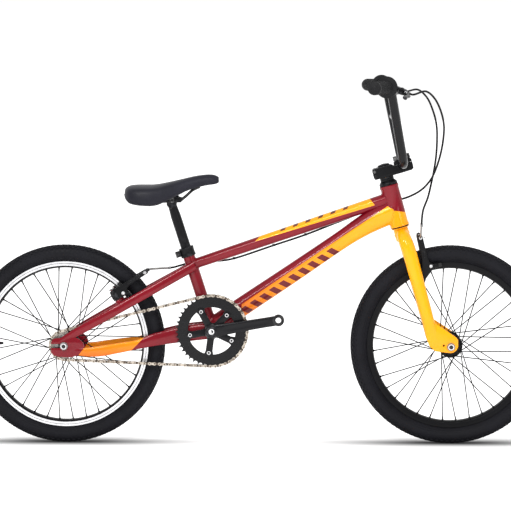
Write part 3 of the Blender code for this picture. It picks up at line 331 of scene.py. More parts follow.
def chain_steel(name, colour):
    s = Shade(name, colour, 0.3, 1.0)
    grime = s.noise(160.0, 4)
    s.base(s.mix(s.remap(grime, 0.48, 0.68, 0, 0.75), colour, (0.10, 0.07, 0.05)))
    s.rough(s.remap(grime, 0.3, 0.7, 0.22, 0.5))
    s.bump(s.noise(1200.0, 2), 0.08, 0.0002)
    return s.m


CHAIN = chain_steel("nickel_chain", (0.55, 0.49, 0.42))
CHAIN_DARK = chain_steel("inner_link_steel", (0.10, 0.08, 0.065))
COG = chain_steel("cog_steel", (0.34, 0.31, 0.28))


def track(name, colour, metal, rough):
    """Machined rim side: bright metal with a fine grain."""
    s = Shade(name, colour, rough, metal)
    n = s.new("TexNoise")
    m = s.new("Mapping")
    s.put(m.inputs[0], s.coord())
    s.put(n.inputs["Vector"], m.outputs[0])
    n.inputs["Scale"].default_value = 90
    n.inputs["Detail"].default_value = 4
    s.base(s.mix(s.remap(n.outputs[0], 0.35, 0.65, 0, 1), colour, tuple(c * 0.82 for c in colour)))
    s.rough(s.remap(s.noise(1500.0, 1), 0.3, 0.7, rough - 0.05, rough + 0.08))
    s.bump(s.noise(1500.0, 2), 0.10, 0.0002)
    return s.m


TRACK = track("rim_brake_track", (0.80, 0.80, 0.82), 0.85, 0.26)
RIM_BLACK = plain("rim_black_anodised", (0.003, 0.003, 0.004), 0.40, 0.1, 900, 0.05, 0.2, Specular_IOR_Level=0.15)


def tyre_rubber():
    s = Shade("tyre_rubber", (0.006, 0.006, 0.008), 0.62, 0.0, Specular_IOR_Level=0.16)
    fine, big = s.noise(700.0, 4), s.noise(20.0, 4)
    c = s.mix(s.remap(big, 0.35, 0.7, 0, 1), (0.0030, 0.0030, 0.0050), (0.0068, 0.0068, 0.0098))
    c = s.mix(s.remap(fine, 0.60, 0.78, 0, 0.35), c, (0.030, 0.029, 0.033))
    s.base(c)
    s.rough(s.remap(big, 0.3, 0.7, 0.52, 0.7))
    s.bump(fine, 0.22, 0.0004)
    return s.m


TYRE = tyre_rubber()


def grip_rubber():
    s = Shade("grip_rubber", (0.006, 0.006, 0.007), 0.62, 0.0, Specular_IOR_Level=0.18)
    n = s.voronoi(900.0)
    s.base(s.mix(s.remap(s.noise(30.0, 3), 0.3, 0.7, 0, 1), (0.005, 0.005, 0.006), (0.010, 0.010, 0.011)))
    s.bump(n, 0.25, 0.0003)
    return s.m


GRIP = grip_rubber()


def saddle_vinyl():
    s = Shade("saddle_vinyl", (0.009, 0.009, 0.014), 0.45, 0.0, Coat_Weight=0.05, Coat_Roughness=0.3, Specular_IOR_Level=0.2)
    cells = s.voronoi(520.0)
    fine = s.noise(1500.0, 3)
    big = s.noise(18.0, 3)
    c = s.mix(s.remap(big, 0.3, 0.7, 0, 1), (0.006, 0.006, 0.011), (0.011, 0.011, 0.019))
    s.base(s.mix(s.remap(cells, 0.0, 0.6, 0.2, 0.0), c, (0.025, 0.025, 0.035)))
    s.rough(s.remap(fine, 0.3, 0.7, 0.42, 0.56))
    s.bump(s.math("ADD", s.math("MULTIPLY", cells, 0.8), s.math("MULTIPLY", fine, 0.4)), 0.35, 0.0005)
    return s.m


VINYL = saddle_vinyl()

# ------------------------------------------------------------------ mesh helpers
pieces = []


def emit(name, verts, faces, mat, body, slot, smooth=True, sharp=35):
    mesh = bpy.data.meshes.new(name)
    mesh.from_pydata([tuple(Vector(v) * MM) for v in verts], [], faces)
    bm = bmesh.new()
    bm.from_mesh(mesh)
    bmesh.ops.remove_doubles(bm, verts=bm.verts, dist=2e-6)
    bmesh.ops.recalc_face_normals(bm, faces=bm.faces)
    bm.to_mesh(mesh)
    bm.free()
    obj = bpy.data.objects.new(name, mesh)
    scene.collection.objects.link(obj)
    return dress(obj, mat, body, slot, smooth, sharp)


def dress(obj, mat, body, slot, smooth=True, sharp=35):
    obj.data.materials.clear()
    obj.data.materials.append(mat)
    if smooth:
        obj.data.shade_smooth()
        obj.data.set_sharp_from_angle(angle=math.radians(sharp))
    obj["_body"] = body
    pieces.append((obj, body, slot))
    return obj


def catmull(points, per):
    """Points (tuples of any length) with `per` steps in each span, on a uniform spline."""
    p = [Vector(q) for q in points]
    p = [p[0] * 2 - p[1]] + p + [p[-1] * 2 - p[-2]]
    out = []
    for i in range(1, len(p) - 2):
        for k in range(per):
            t = k / per
            a, b, c, d = p[i - 1], p[i], p[i + 1], p[i + 2]
            out.append(0.5 * ((2 * b) + (c - a) * t + (2 * a - 5 * b + 4 * c - d) * t * t + (3 * b - a - 3 * c + d) * t ** 3))
    out.append(p[-2])
    return out


def even(points, count):
    lengths = [0.0]
    for a, b in zip(points, points[1:]):
        lengths.append(lengths[-1] + (b - a).length)
    out, k = [], 0
    for i in range(count):
        want = lengths[-1] * i / (count - 1)
        while k < len(points) - 2 and lengths[k + 1] < want:
            k += 1
        span = lengths[k + 1] - lengths[k]
        out.append(points[k].lerp(points[k + 1], (want - lengths[k]) / span if span else 0))
    return out


def smooth_path(points, count):
    p = [Vector(q) for q in points]
    p = [p[0] * 2 - p[1]] + p + [p[-1] * 2 - p[-2]]
    fine = []
    for i in range(1, len(p) - 2):
        t = [0.0]
        for a, b in ((i - 1, i), (i, i + 1), (i + 1, i + 2)):
            t.append(t[-1] + max((p[b] - p[a]).length, 1e-6) ** 0.5)
        for k in range(24):
            s = t[1] + (t[2] - t[1]) * k / 24
            a1 = p[i - 1].lerp(p[i], (s - t[0]) / (t[1] - t[0]))
            a2 = p[i].lerp(p[i + 1], (s - t[1]) / (t[2] - t[1]))
            a3 = p[i + 1].lerp(p[i + 2], (s - t[2]) / (t[3] - t[2]))
            b1 = a1.lerp(a2, (s - t[0]) / (t[2] - t[0]))
            b2 = a2.lerp(a3, (s - t[1]) / (t[3] - t[1]))
            fine.append(b1.lerp(b2, (s - t[1]) / (t[2] - t[1])))
    fine.append(p[-2])
    return even(fine, count)


def rounded(corners, radii, steps=9):
    p = [Vector(c) for c in corners]
    out = [p[0]]
    if not hasattr(radii, "__len__"):
        radii = [radii] * (len(p) - 2)
    for a, b, c, radius in zip(p, p[1:], p[2:], radii):
        u, v = (a - b).normalized(), (c - b).normalized()
        half = u.angle(v) / 2
        reach = radius / math.tan(half)
        start, end = b + u * reach, b + v * reach
        centre = b + (u + v).normalized() * (radius / math.sin(half))
        e1 = (start - centre).normalized()
        turn = math.pi - 2 * half
        e2 = (end - centre) - e1 * (end - centre).dot(e1)
        e2.normalize()
        for i in range(steps):
            t = turn * i / (steps - 1)
            out.append(centre + (e1 * math.cos(t) + e2 * math.sin(t)) * radius)
    out.append(p[-1])
    return out


def ring_faces(rows, count, closed=False, first=0):
    faces = []
    total = rows if closed else rows - 1
    for i in range(total):
        a, b = first + i * count, first + ((i + 1) % rows) * count
        for k in range(count):
            faces.append((a + k, a + (k + 1) % count, b + (k + 1) % count, b + k))
    return faces


def frames(path, closed=False):
    """Turned-along frames: (point, side, up) at each point."""
    n = len(path)
    out = []
    side = None
    for i, p in enumerate(path):
        a = path[(i - 1) % n] if closed or i else path[0]
        b = path[(i + 1) % n] if closed or i < n - 1 else path[-1]
        t = (b - a).normalized()
        if side is None:
            hint = Vector((0, 1, 0)) if abs(t.y) < 0.8 else Vector((0, 0, 1))
            side = (hint - t * hint.dot(t)).normalized()
        else:
            side = (side - t * side.dot(t)).normalized()
        out.append((p, side, t.cross(side)))
    return out


def wire(name, path, radius, mat, body, slot, sides=14, closed=False, squash=None):
    """A round rod or hose along path; radius is a number or one per point."""
    radii = radius if hasattr(radius, "__len__") else [radius] * len(path)
    verts, faces = [], []
    rows = frames([Vector(p) for p in path], closed)
    for (p, s, u), r in zip(rows, radii):
        for k in range(sides):
            a = 2 * math.pi * k / sides
            d = s * (r * math.cos(a)) + u * (r * math.sin(a))
            if squash:
                across, ahead = squash[len(verts) // sides]
                d = Vector((d.x * ahead, d.y * across, d.z))
            verts.append(p + d)
    faces = ring_faces(len(rows), sides, closed)
    if not closed:
        faces += [tuple(range(sides)), tuple(range((len(rows) - 1) * sides, len(rows) * sides))]
    return emit(name, verts, faces, mat, body, slot)


def axes(centre, axis):
    z = Vector(axis).normalized()
    hint = Vector((0, 1, 0)) if abs(z.y) < 0.9 else Vector((1, 0, 0))
    x = (hint - z * hint.dot(z)).normalized()
    return Vector(centre), x, z.cross(x), z


def lathe(name, profile, centre, axis, mat, body, slot, steps=64, ripple=None, sharp=35):
    """Profile of (r, h); closed on itself unless it starts and ends at r = 0."""
    c, x, y, z = axes(centre, axis)
    solid = profile[0][0] == 0 and profile[-1][0] == 0
    verts, faces = [], []
    rows = len(profile)
    for k in range(steps):
        a = 2 * math.pi * k / steps
        for r, h in profile:
            rr = r if ripple is None else r + ripple(a, r, h)
            verts.append(c + x * (rr * math.cos(a)) + y * (rr * math.sin(a)) + z * h)
    spans = rows - 1 if solid else rows
    for k in range(steps):
        n = (k + 1) % steps
        for i in range(spans):
            j = (i + 1) % rows
            faces.append((k * rows + i, k * rows + j, n * rows + j, n * rows + i))
    return emit(name, verts, faces, mat, body, slot, sharp=sharp)


def arc(cx, cy, r, a0, a1, n):
    return [(cx + r * math.cos(math.radians(a0 + (a1 - a0) * i / (n - 1))), cy + r * math.sin(math.radians(a0 + (a1 - a0) * i / (n - 1))))
            for i in range(n)]


def circle(x, y, r, n, start=0.0):
    return [(x + r * math.cos(math.radians(start) + 2 * math.pi * i / n), y + r * math.sin(math.radians(start) + 2 * math.pi * i / n)) for i in range(n)]


def slab(name, outline, thickness, matrix, mat, body, slot, holes=(), bevel=0.6, steps=2):
    """A flat outline in the matrix's XY plane with rounded edges."""
    curve = bpy.data.curves.new(name, "CURVE")
    curve.dimensions = "2D"
    curve.fill_mode = "BOTH"
    curve.extrude = (thickness / 2 - bevel) * MM
    curve.bevel_depth = bevel * MM
    curve.bevel_resolution = steps
    curve.offset = -bevel * MM
    for loop in (outline, *holes):
        sp = curve.splines.new("POLY")
        sp.points.add(len(loop) - 1)
        for pt, (x, y) in zip(sp.points, loop):
            pt.co = (x * MM, y * MM, 0, 1)
        sp.use_cyclic_u = True
    tmp = bpy.data.objects.new(name + "_c", curve)
    scene.collection.objects.link(tmp)
    bpy.context.view_layer.update()
    mesh = bpy.data.meshes.new_from_object(tmp.evaluated_get(bpy.context.evaluated_depsgraph_get()))
    bpy.data.objects.remove(tmp, do_unlink=True)
    mesh.transform(matrix)
    mesh.name = name
    bm = bmesh.new()
    bm.from_mesh(mesh)
    bmesh.ops.remove_doubles(bm, verts=bm.verts, dist=2e-6)
    bmesh.ops.recalc_face_normals(bm, faces=bm.faces)
    bm.to_mesh(mesh)
    bm.free()
    obj = bpy.data.objects.new(name, mesh)
    scene.collection.objects.link(obj)
    return dress(obj, mat, body, slot, sharp=16)


def plane_at(origin, x, y):
    """Matrix whose local X and Y run along x and y from origin (mm)."""
    x, y = Vector(x).normalized(), Vector(y).normalized()
    m = Matrix((x, y, x.cross(y))).transposed().to_4x4()
    m.translation = Vector(origin) * MM
    return m


def upright(y):
    return plane_at((0, y, 0), (1, 0, 0), (0, 0, 1))


def steer_plane(y):
    return plane_at(HEAD + Vector((0, y, 0)), head_fwd, head_up)


def brick(name, size, matrix, mat, body, slot, bevel=1.0):
    bm = bmesh.new()
    bmesh.ops.create_cube(bm, size=1)
    bmesh.ops.transform(bm, matrix=Matrix.Diagonal((size[0] * MM, size[1] * MM, size[2] * MM, 1)), verts=bm.verts)
    bmesh.ops.bevel(bm, geom=list(bm.edges), offset=bevel * MM, segments=3, profile=0.5, affect="EDGES")
    bmesh.ops.transform(bm, matrix=matrix, verts=bm.verts)
    mesh = bpy.data.meshes.new(name)
    bm.to_mesh(mesh)
    bm.free()
    obj = bpy.data.objects.new(name, mesh)
    scene.collection.objects.link(obj)
    return dress(obj, mat, body, slot)


def rod(name, r, a, b, mat, body, slot, steps=32, chamfer=0.5, r2=None):
    a, b = Vector(a), Vector(b)
    h = (b - a).length
    r2 = r if r2 is None else r2
    c = min(chamfer, h / 3)
    return lathe(name, [(0, 0), (r - c, 0), (r, c), (r2, h - c), (r2 - c, h), (0, h)], a, b - a, mat, body, slot, steps)


def hexbolt(name, across, a, b, mat, body, slot):
    """A hexagonal head from a to b, with a chamfered crown and a flat top."""
    c, x, y, z = axes(a, Vector(b) - Vector(a))
    h = (Vector(b) - Vector(a)).length
    r = across / math.sqrt(3)
    verts, faces = [], []
    for rr, hh in ((r, 0), (r, h * 0.78), (r * 0.86, h), (r * 0.5, h)):
        for k in range(6):
            t = math.pi / 3 * k
            verts.append(c + x * (rr * math.cos(t)) + y * (rr * math.sin(t)) + z * hh)
    faces = ring_faces(4, 6) + [tuple(range(6)), tuple(range(18, 24))]
    return emit(name, verts, faces, mat, body, slot, sharp=25)


def socket_bolt(name, r, a, b, mat, body, slot):
    """A cap screw with a hexagonal socket in its far end."""
    c, x, y, z = axes(a, Vector(b) - Vector(a))
    h = (Vector(b) - Vector(a)).length
    verts, faces = [], []
    n = 24
    rows = [(r, 0, n), (r, h - 0.5, n), (r - 0.5, h, n), (r * 0.58, h, n), (r * 0.55, h - 2.2, n)]
    for rr, hh, _ in rows:
        for k in range(n):
            t = 2 * math.pi * k / n
            q = rr
            if rr <= r * 0.58:
                q = rr * (0.92 + 0.08 / max(0.5, math.cos((t % (math.pi / 3)) - math.pi / 6)))
            verts.append(c + x * (q * math.cos(t)) + y * (q * math.sin(t)) + z * hh)
    faces = ring_faces(5, n) + [tuple(range(n)), tuple(range(4 * n, 5 * n))]
    return emit(name, verts, faces, mat, body, slot)


# ------------------------------------------------------------------ frame tubes
def section(kind, k, n):
    """Unit section point (side, up) at index k of n."""
    a = 2 * math.pi * k / n
    c, s = math.cos(a), math.sin(a)
    if kind == "round":
        return c, s
    if kind == "down":          # a soft ridge a third of the way down each flank
        r = 1.0
        side = math.copysign(abs(c) ** 0.86, c)
        up = math.copysign(abs(s) ** 0.98, s)
        ridge = math.exp(-((s - 0.22) / 0.26) ** 2)
        return side * (0.95 + 0.07 * ridge) * r, up * r
    if kind == "top":
        side = math.copysign(abs(c) ** 0.80, c)
        up = math.copysign(abs(s) ** 0.86, s)
        return side * (0.94 + 0.08 * math.exp(-((s - 0.25) / 0.3) ** 2)), up
    side = math.copysign(abs(c) ** 0.72, c)      # flattened stays
    up = math.copysign(abs(s) ** 0.80, s)
    return side, up


TUBES = {}


def frame_tube(name, stations, mat, body, slot, kind="round", sides=40, per=8, keep=None):
    """Stations are (x, y, z, half width, half height). keep(point) drops hidden rows."""
    fine = catmull(stations, per)
    if keep:
        fine = [q for q in fine if keep(Vector(q[:3]))]
    path = [Vector(q[:3]) for q in fine]
    rows = []
    for i, q in enumerate(fine):
        a, b = path[max(i - 1, 0)], path[min(i + 1, len(path) - 1)]
        t = (b - a).normalized()
        side = Vector((0, 1, 0)) - t * t.y
        side.normalize()
        up = side.cross(t)
        if up.z < 0:
            up = -up
        rows.append([path[i] + side * (section(kind, k, sides)[0] * q[3]) + up * (section(kind, k, sides)[1] * q[4]) for k in range(sides)])
    verts = [v for row in rows for v in row]
    faces = ring_faces(len(rows), sides) + [tuple(range(sides)), tuple(range((len(rows) - 1) * sides, len(rows) * sides))]
    TUBES[name] = rows
    return emit(name, verts, faces, mat, body, slot)


def weld(name, tube, outside, mat, body, slot, size=1.7, beads=None, from_start=True):
    """A rippled fillet where a tube's surface leaves another one: outside(p) > 0 there."""
    rows = TUBES[tube] if from_start else TUBES[tube][::-1]
    n = len(rows[0])
    line = []
    for k in range(n):
        for a, b in zip(rows, rows[1:]):
            da, db = outside(a[k]), outside(b[k])
            if da <= 0 < db:
                line.append(a[k].lerp(b[k], -da / (db - da)))
                break
    if len(line) < 8:
        return None
    closed = [*line, line[0]]
    total = sum((b - a).length for a, b in zip(closed, closed[1:]))
    count = max(48, int(total / 0.9))
    path = even(closed, count + 1)[:-1]
    radii = [size * (0.86 + 0.22 * abs(math.sin(math.pi * i * 0.9 / 3.0))) for i in range(count)]
    return wire(name, path, radii, mat, body, slot, sides=8, closed=True)


def from_axis(origin, direction, radius):
    o, d = Vector(origin), Vector(direction).normalized()

    def f(p):
        q = p - o
        return (q - d * q.dot(d)).length - radius
    return f


out_head = from_axis(HEAD, head_up, 23.0)
out_seat = from_axis(BB, seat_up, 15.0)
out_bb = from_axis(BB, (0, 1, 0), 21.0)


def top_z(x):
    return 507.5 + 0.339 * (x - 5.8)


lathe("head_tube_looks", [(19.0, 0), (22.4, 0), (24.0, 1.0), (24.0, 5.5), (23.0, 8.0), (23.0, 99.0), (24.0, 101.5), (24.0, 106.0), (22.4, 107.0), (19.0, 107.0)],
      HEAD, head_up, PAINT["head"], "frame", "maroon_paint", 72)
lathe("seat_tube_looks", [(13.3, 12), (15.0, 12), (15.0, 212.4), (14.4, 213.0), (13.3, 213.0)], BB, seat_up, PAINT[""], "frame", "maroon_paint", 56)
lathe("bb_shell_looks", [(17.3, -34), (20.4, -34), (21, -33.4), (21, 33.4), (20.4, 34), (17.3, 34)], BB, (0, 1, 0), PAINT[""], "frame", "maroon_paint", 64)
frame_tube("top_tube_looks", [(x, 0, top_z(x), r * 1.1, r) for x, r in ((-166, 12.7), (-60, 13.6), (120, 14.8), (240, 15.3), (336, 15.8))],
           PAINT["top"], "frame", "maroon_paint", "top", 48, 10)
frame_tube("down_tube_looks", [(-114, 0, 292, 19.0, 24.3), (-44, 0, 340.8, 19.0, 24.3), (30, 0, 390.4, 18.8, 24.0), (96.4, 0, 435, 18.4, 23.6), (203.7, 0, 508.5, 17.9, 22.8),
                               (254, 0, 542, 19.6, 25.2), (300, 0, 568.5, 22.0, 29), (346, 0, 588, 22.6, 30)],
           PAINT["down"], "frame", "maroon_paint", "down", 56, 8)
weld("weld_top_head", "top_tube_looks", lambda p: out_head(p), PAINT["head"], "frame", "maroon_paint", 1.9, from_start=False)
weld("weld_down_head", "down_tube_looks", lambda p: out_head(p), PAINT["head"], "frame", "maroon_paint", 2.0, from_start=False)
weld("weld_top_seat", "top_tube_looks", out_seat, PAINT[""], "frame", "maroon_paint", 1.7)
weld("weld_down_bb", "down_tube_looks", lambda p: min(out_bb(p), out_seat(p)) , PAINT["down"], "frame", "maroon_paint", 1.9)
wire("weld_seat_bb", [BB + seat_up * math.sqrt(max(0, 21.3 ** 2 - (15 * math.cos(a)) ** 2)) + Vector((0, 15.2 * math.sin(a), 0)) + seat_up.cross(Vector((0, 1, 0))) * (15.2 * math.cos(a))
                      for a in [2 * math.pi * i / 72 for i in range(72)]],
     [1.7 * (0.86 + 0.2 * abs(math.sin(i * 0.95))) for i in range(72)], PAINT[""], "frame", "maroon_paint", 8, True)

# seat stays, chain stays, dropouts and what they carry
for side, name in ((-1, "R"), (1, "L")):
    stay = [(x, side * y, 434 + 0.56 * (x + 184.4), w, h) for x, y, w, h in
            ((-158, 17.6, 7.4, 12), (-200, 26.0, 7.5, 12), (-262, 39.5, 7.5, 12), (-300, 45.0, 7.5, 12), (-343, 51.3, 7.5, 12), (-362, 54.6, 7.5, 12),
             (-400, 57.4, 7.3, 11.6), (-435, 58.2, 6.2, 11.0), (-462, 58.3, 3.6, 9.6), (-484, 58.3, 3.15, 7.4), (-496, 58.3, 3.05, 4.0))]
    frame_tube("seat_stay_%s_looks" % name, stay, PAINT[""], "frame", "maroon_paint", "stay", 32, 8)
    weld("weld_stay_seat_" + name, "seat_stay_%s_looks" % name, out_seat, PAINT[""], "frame", "maroon_paint", 1.5)
    low = [(x, side * y, z, w, h) for x, y, z, w, h in
           ((-114, 25.5, 286, 8.0, 20.3), (-165, 26, 280.5, 8.2, 20.5), (-203, 27.2, 274.6, 8.0, 19.5), (-240, 33.5, 267.6, 7.0, 16.8), (-262, 38.6, 263.2, 6.4, 15.4),
            (-300, 44, 252.6, 5.5, 11.8), (-345, 51, 245.0, 5.6, 12.8), (-388, 56.5, 238.0, 5.8, 13.4), (-415, 57.9, 235.2, 5.4, 12.0), (-438, 58.3, 235.4, 4.2, 10.4), (-456, 58.3, 237.0, 3.2, 8.0))]
    frame_tube("chain_stay_%s_looks" % name, low, PAINT["stay"], "frame", "maroon_paint", "stay", 36, 8)
    weld("weld_chain_stay_" + name, "chain_stay_%s_looks" % name, out_bb, PAINT[""], "frame", "maroon_paint", 1.6)
    ear = [(-514.6, 261.0), (-511, 266.5), (-505.0, 269.6), (-470, 272.2), (-455.0, 272.0), (-444, 267.5), (-436, 260.0), (-432.0, 248.2),
           (-438, 235), (-450.0, 226.0), (-462.0, 222.4), (-480.3, 221.6), (-497, 223.2), (-508.0, 226.8), (-514.8, 233.0), (-515.6, 244.9)]
    ear += arc(REAR.x, REAR.z, 5.1, -90, 90, 13) + [(-515.6, 255.1)]
    slab("rear_dropout_" + name, ear, 6.0, upright(side * 58.3), PAINT[""], "frame", "maroon_paint", bevel=0.8)
    # brake boss on the stay
    lathe("rear_boss_" + name, [(0, 6), (7.6, 8), (7.2, 17), (6.2, 19.4), (4.0, 19.6), (4.0, 48.2), (3.4, 48.6), (0, 48.6)], BRAKE_FOOT + Vector((0, side * 44.0, 0)), STAY_OUT,
          PAINT[""], "frame", "maroon_paint", 28)
    # bottom bracket cup with notches
    lathe("bb_cup_%s_looks" % name, [(16.4, 22.5), (9.6, 22.5), (9.6, 36.6), (10.4, 37.0), (19.4, 37.0), (20.2, 36.3), (20.2, 34.3), (16.4, 34.3)], BB, (0, side, 0), SATIN_BLACK, "frame", "black_alloy", 96,
          ripple=lambda a, r, h: -1.3 if r > 19 and (a * 16 / (2 * math.pi)) % 1 < 0.42 else 0.0)

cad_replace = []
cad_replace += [("head_tube_looks", "head_tube"), ("seat_tube_looks", "seat_tube"), ("bb_shell_looks", "bb_shell"), ("top_tube_looks", "top_tube"), ("down_tube_looks", "down_tube"),
               ("seat_stay_R_looks", "seat_stay_R"), ("seat_stay_L_looks", "seat_stay_L"), ("chain_stay_R_looks", "chain_stay_R"), ("chain_stay_L_looks", "chain_stay_L"),
               ("bb_cup_R_looks", "bb_cup_R"), ("bb_cup_L_looks", "bb_cup_L")]

# headset
lathe("headset_cup_upper_looks", [(15.3, 95), (18.2, 95), (18.2, 107.3), (22.6, 107.3), (23, 107.6), (23, 108.5), (22.6, 108.8), (15.3, 108.8)], HEAD, head_up, SATIN_BLACK, "frame", "black_alloy", 64)
lathe("headset_cup_lower_looks", [(15.3, 12), (18.2, 12), (18.2, -0.3), (22.8, -0.3), (23.1, -0.7), (23.1, -1.5), (22.8, -1.8), (15.3, -1.8)], HEAD, head_up, SATIN_BLACK, "frame", "black_alloy", 64)
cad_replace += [("headset_cup_upper_looks", "headset_cup_upper"), ("headset_cup_lower_looks", "headset_cup_lower")]

# seat collar: split clamp with a bolt behind
lathe("seat_collar_looks", [(15.5, 193), (18.0, 193), (18.8, 193.8), (18.8, 198), (18.2, 199), (18.2, 212), (18.8, 213), (18.8, 216.2), (18.0, 217), (15.5, 217)], BB, seat_up, SATIN_BLACK, "frame", "black_alloy", 64)
for y in (-4.6, 4.6):
    brick("collar_ear_%d" % (y > 0), (13, 5.4, 15), plane_at(on_seat(205.5, y) + Vector((-22.5, 0, -7)), seat_up.cross(Vector((0, 1, 0))) * -1, (0, 1, 0)) , SATIN_BLACK, "frame", "black_alloy", 1.2)
rod("collar_bolt", 2.6, on_seat(205.5, -8) + Vector((-24, 0, -8)), on_seat(205.5, 8) + Vector((-24, 0, -8)), BOLT, "frame", "black_steel", 20)
socket_bolt("collar_bolt_head", 4.2, on_seat(205.5, -7.4) + Vector((-24, 0, -8)), on_seat(205.5, -12) + Vector((-24, 0, -8)), BOLT, "frame", "black_steel")
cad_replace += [("seat_collar_looks", "seat_collar")]

# ------------------------------------------------------------------ wheels
def tyre(name, centre, body):
    outer = [(200.5, 9.5), (200.5, 12.2), (205, 12.6), (209.4, 13.4), (213.2, 17.2), (218.5, 21.4), (224.5, 24.1), (230, 24.9), (236.5, 23.6),
             (242, 19.9), (245.6, 14.6), (247.6, 8.4), (248.3, 3.0)]
    fine = [(q[0], q[1]) for q in catmull(outer, 3)]
    loop = fine + [(r, -h) for r, h in reversed(fine)] + [(244.5, -4), (231, -21), (213, -14.5), (200.5, -9.5)] + [(213, 14.5), (231, 21), (244.5, 4)]
    verts, faces = [], []
    n, rows = 160, len(loop)
    for k in range(n):
        a = 2 * math.pi * k / n
        for r, h in loop:
            verts.append(centre + Vector((r * math.cos(a), h, r * math.sin(a))))
    for k in range(n):
        m = (k + 1) % n
        for i in range(rows):
            j = (i + 1) % rows
            faces.append((k * rows + i, k * rows + j, m * rows + j, m * rows + i))
    # small blocks: (arc position across the tread, length, width, count, phase)
    skin = [Vector((r, h)) for r, h in fine if r > 224]

    def at(y):
        for p, q in zip(skin, skin[1:]):
            if q.y <= abs(y) <= p.y:
                t = (p.y - abs(y)) / (p.y - q.y)
                pos = p.lerp(q, t)
                d = (q - p).normalized()
                return pos.x, math.copysign(pos.y, y), Vector((d.y * -1, d.x))
        return skin[-1].x, y, Vector((1, 0))
    rowspec = [(0.0, 7.2, 5.6, 116, 0.0), (7.0, 7.2, 5.2, 116, 0.5), (-7.0, 7.2, 5.2, 116, 0.5), (13.6, 7.0, 5.0, 116, 0.0), (-13.6, 7.0, 5.0, 116, 0.0),
               (19.2, 7.4, 4.4, 116, 0.5), (-19.2, 7.4, 4.4, 116, 0.5), (23.2, 4.6, 4.2, 116, 0.0), (-23.2, 4.6, 4.2, 116, 0.0)]
    for y0, length, width, count, phase in rowspec:
        r, h, nrm = at(y0)
        normal = Vector((nrm.x, abs(nrm.y) * (1 if y0 >= 0 else -1)))
        if normal.x < 0:
            normal = Vector((-normal.x, normal.y))
        normal.normalize()
        across = Vector((-normal.y, normal.x))
        height = 1.9 if abs(y0) < 20 else 1.2
        for c in range(count):
            a = 2 * math.pi * (c + phase) / count
            base = len(verts)
            for lift, shrink in ((-0.8, 1.0), (height, 0.82)):
                for sa, sw in ((-1, -1), (1, -1), (1, 1), (-1, 1)):
                    ang = a + sa * length * shrink / 2 / r
                    rr = r + normal.x * lift + across.x * sw * width * shrink / 2
                    hh = h + normal.y * lift + across.y * sw * width * shrink / 2
                    rr = min(rr, 250.0)
                    verts.append(centre + Vector((rr * math.cos(ang), hh, rr * math.sin(ang))))
            b = base
            faces += [(b + 4, b + 5, b + 6, b + 7), (b, b + 1, b + 5, b + 4), (b + 1, b + 2, b + 6, b + 5), (b + 2, b + 3, b + 7, b + 6), (b + 3, b, b + 4, b + 7)]
    # moulded rings on the side walls
    obj = emit(name, verts, faces, TYRE, body, "tyre_rubber", sharp=28)
    for i, (r, h, w) in enumerate(((216.4, 20.2, 0.55), (221.0, 22.9, 0.5), (210.6, 14.9, 0.7))):
        for side in (-1, 1):
            lathe("%s_rib_%d_%s" % (name, i, "R" if side < 0 else "L"), [(r + w * math.cos(t), h + w * math.sin(t)) for t in [2 * math.pi * k / 8 for k in range(8)]],
                  centre, (0, side, 0), TYRE, body, "tyre_rubber", 120)
    return obj


def rim(name, centre, body, silver, valve):
    half = [(209.0, 13.2), (209.4, 14.4), (208.6, 15.0), (197.6, 15.0), (196.4, 14.4), (193.6, 10.0), (192.4, 6.0), (192.1, 0)]
    inside = [(200.6, 0), (200.6, 8), (202.0, 12.8), (206.6, 13.0), (207.6, 12.4), (208.4, 12.6)]
    loop = half + [(r, -h) for r, h in reversed(half[:-1])] + [(r, -h) for r, h in reversed(inside[1:])] + inside
    obj = lathe(name, loop, centre, (0, 1, 0), RIM_BLACK, body, "black_alloy", 180)
    if silver:
        for side in (-1, 1):
            s = "R" if side < 0 else "L"
            lathe("%s_track_%s" % (name, s), [(208.6, 15.0), (208.5, 15.22), (197.8, 15.22), (197.6, 15.0)], centre, (0, side, 0), TRACK, body, "silver_alloy", 180)
            lathe("%s_wear_line_%s" % (name, s), [(204.0, 15.1), (203.9, 15.3), (202.9, 15.3), (202.8, 15.1)], centre, (0, side, 0), RIM_BLACK, body, "silver_alloy", 180)
    # valve
    base = centre + Vector((192 * math.cos(math.radians(valve)), 0, 192 * math.sin(math.radians(valve))))
    inward = (centre - base).normalized()
    rod(name + "_valve", 3.1, base - inward * 3, base + inward * 24, PLASTIC, body, "grip_rubber", 20, r2=2.8)
    rod(name + "_valve_cap", 3.9, base + inward * 23, base + inward * 33, PLASTIC, body, "saddle_plastic", 20, 1.0, r2=3.2)
    return obj


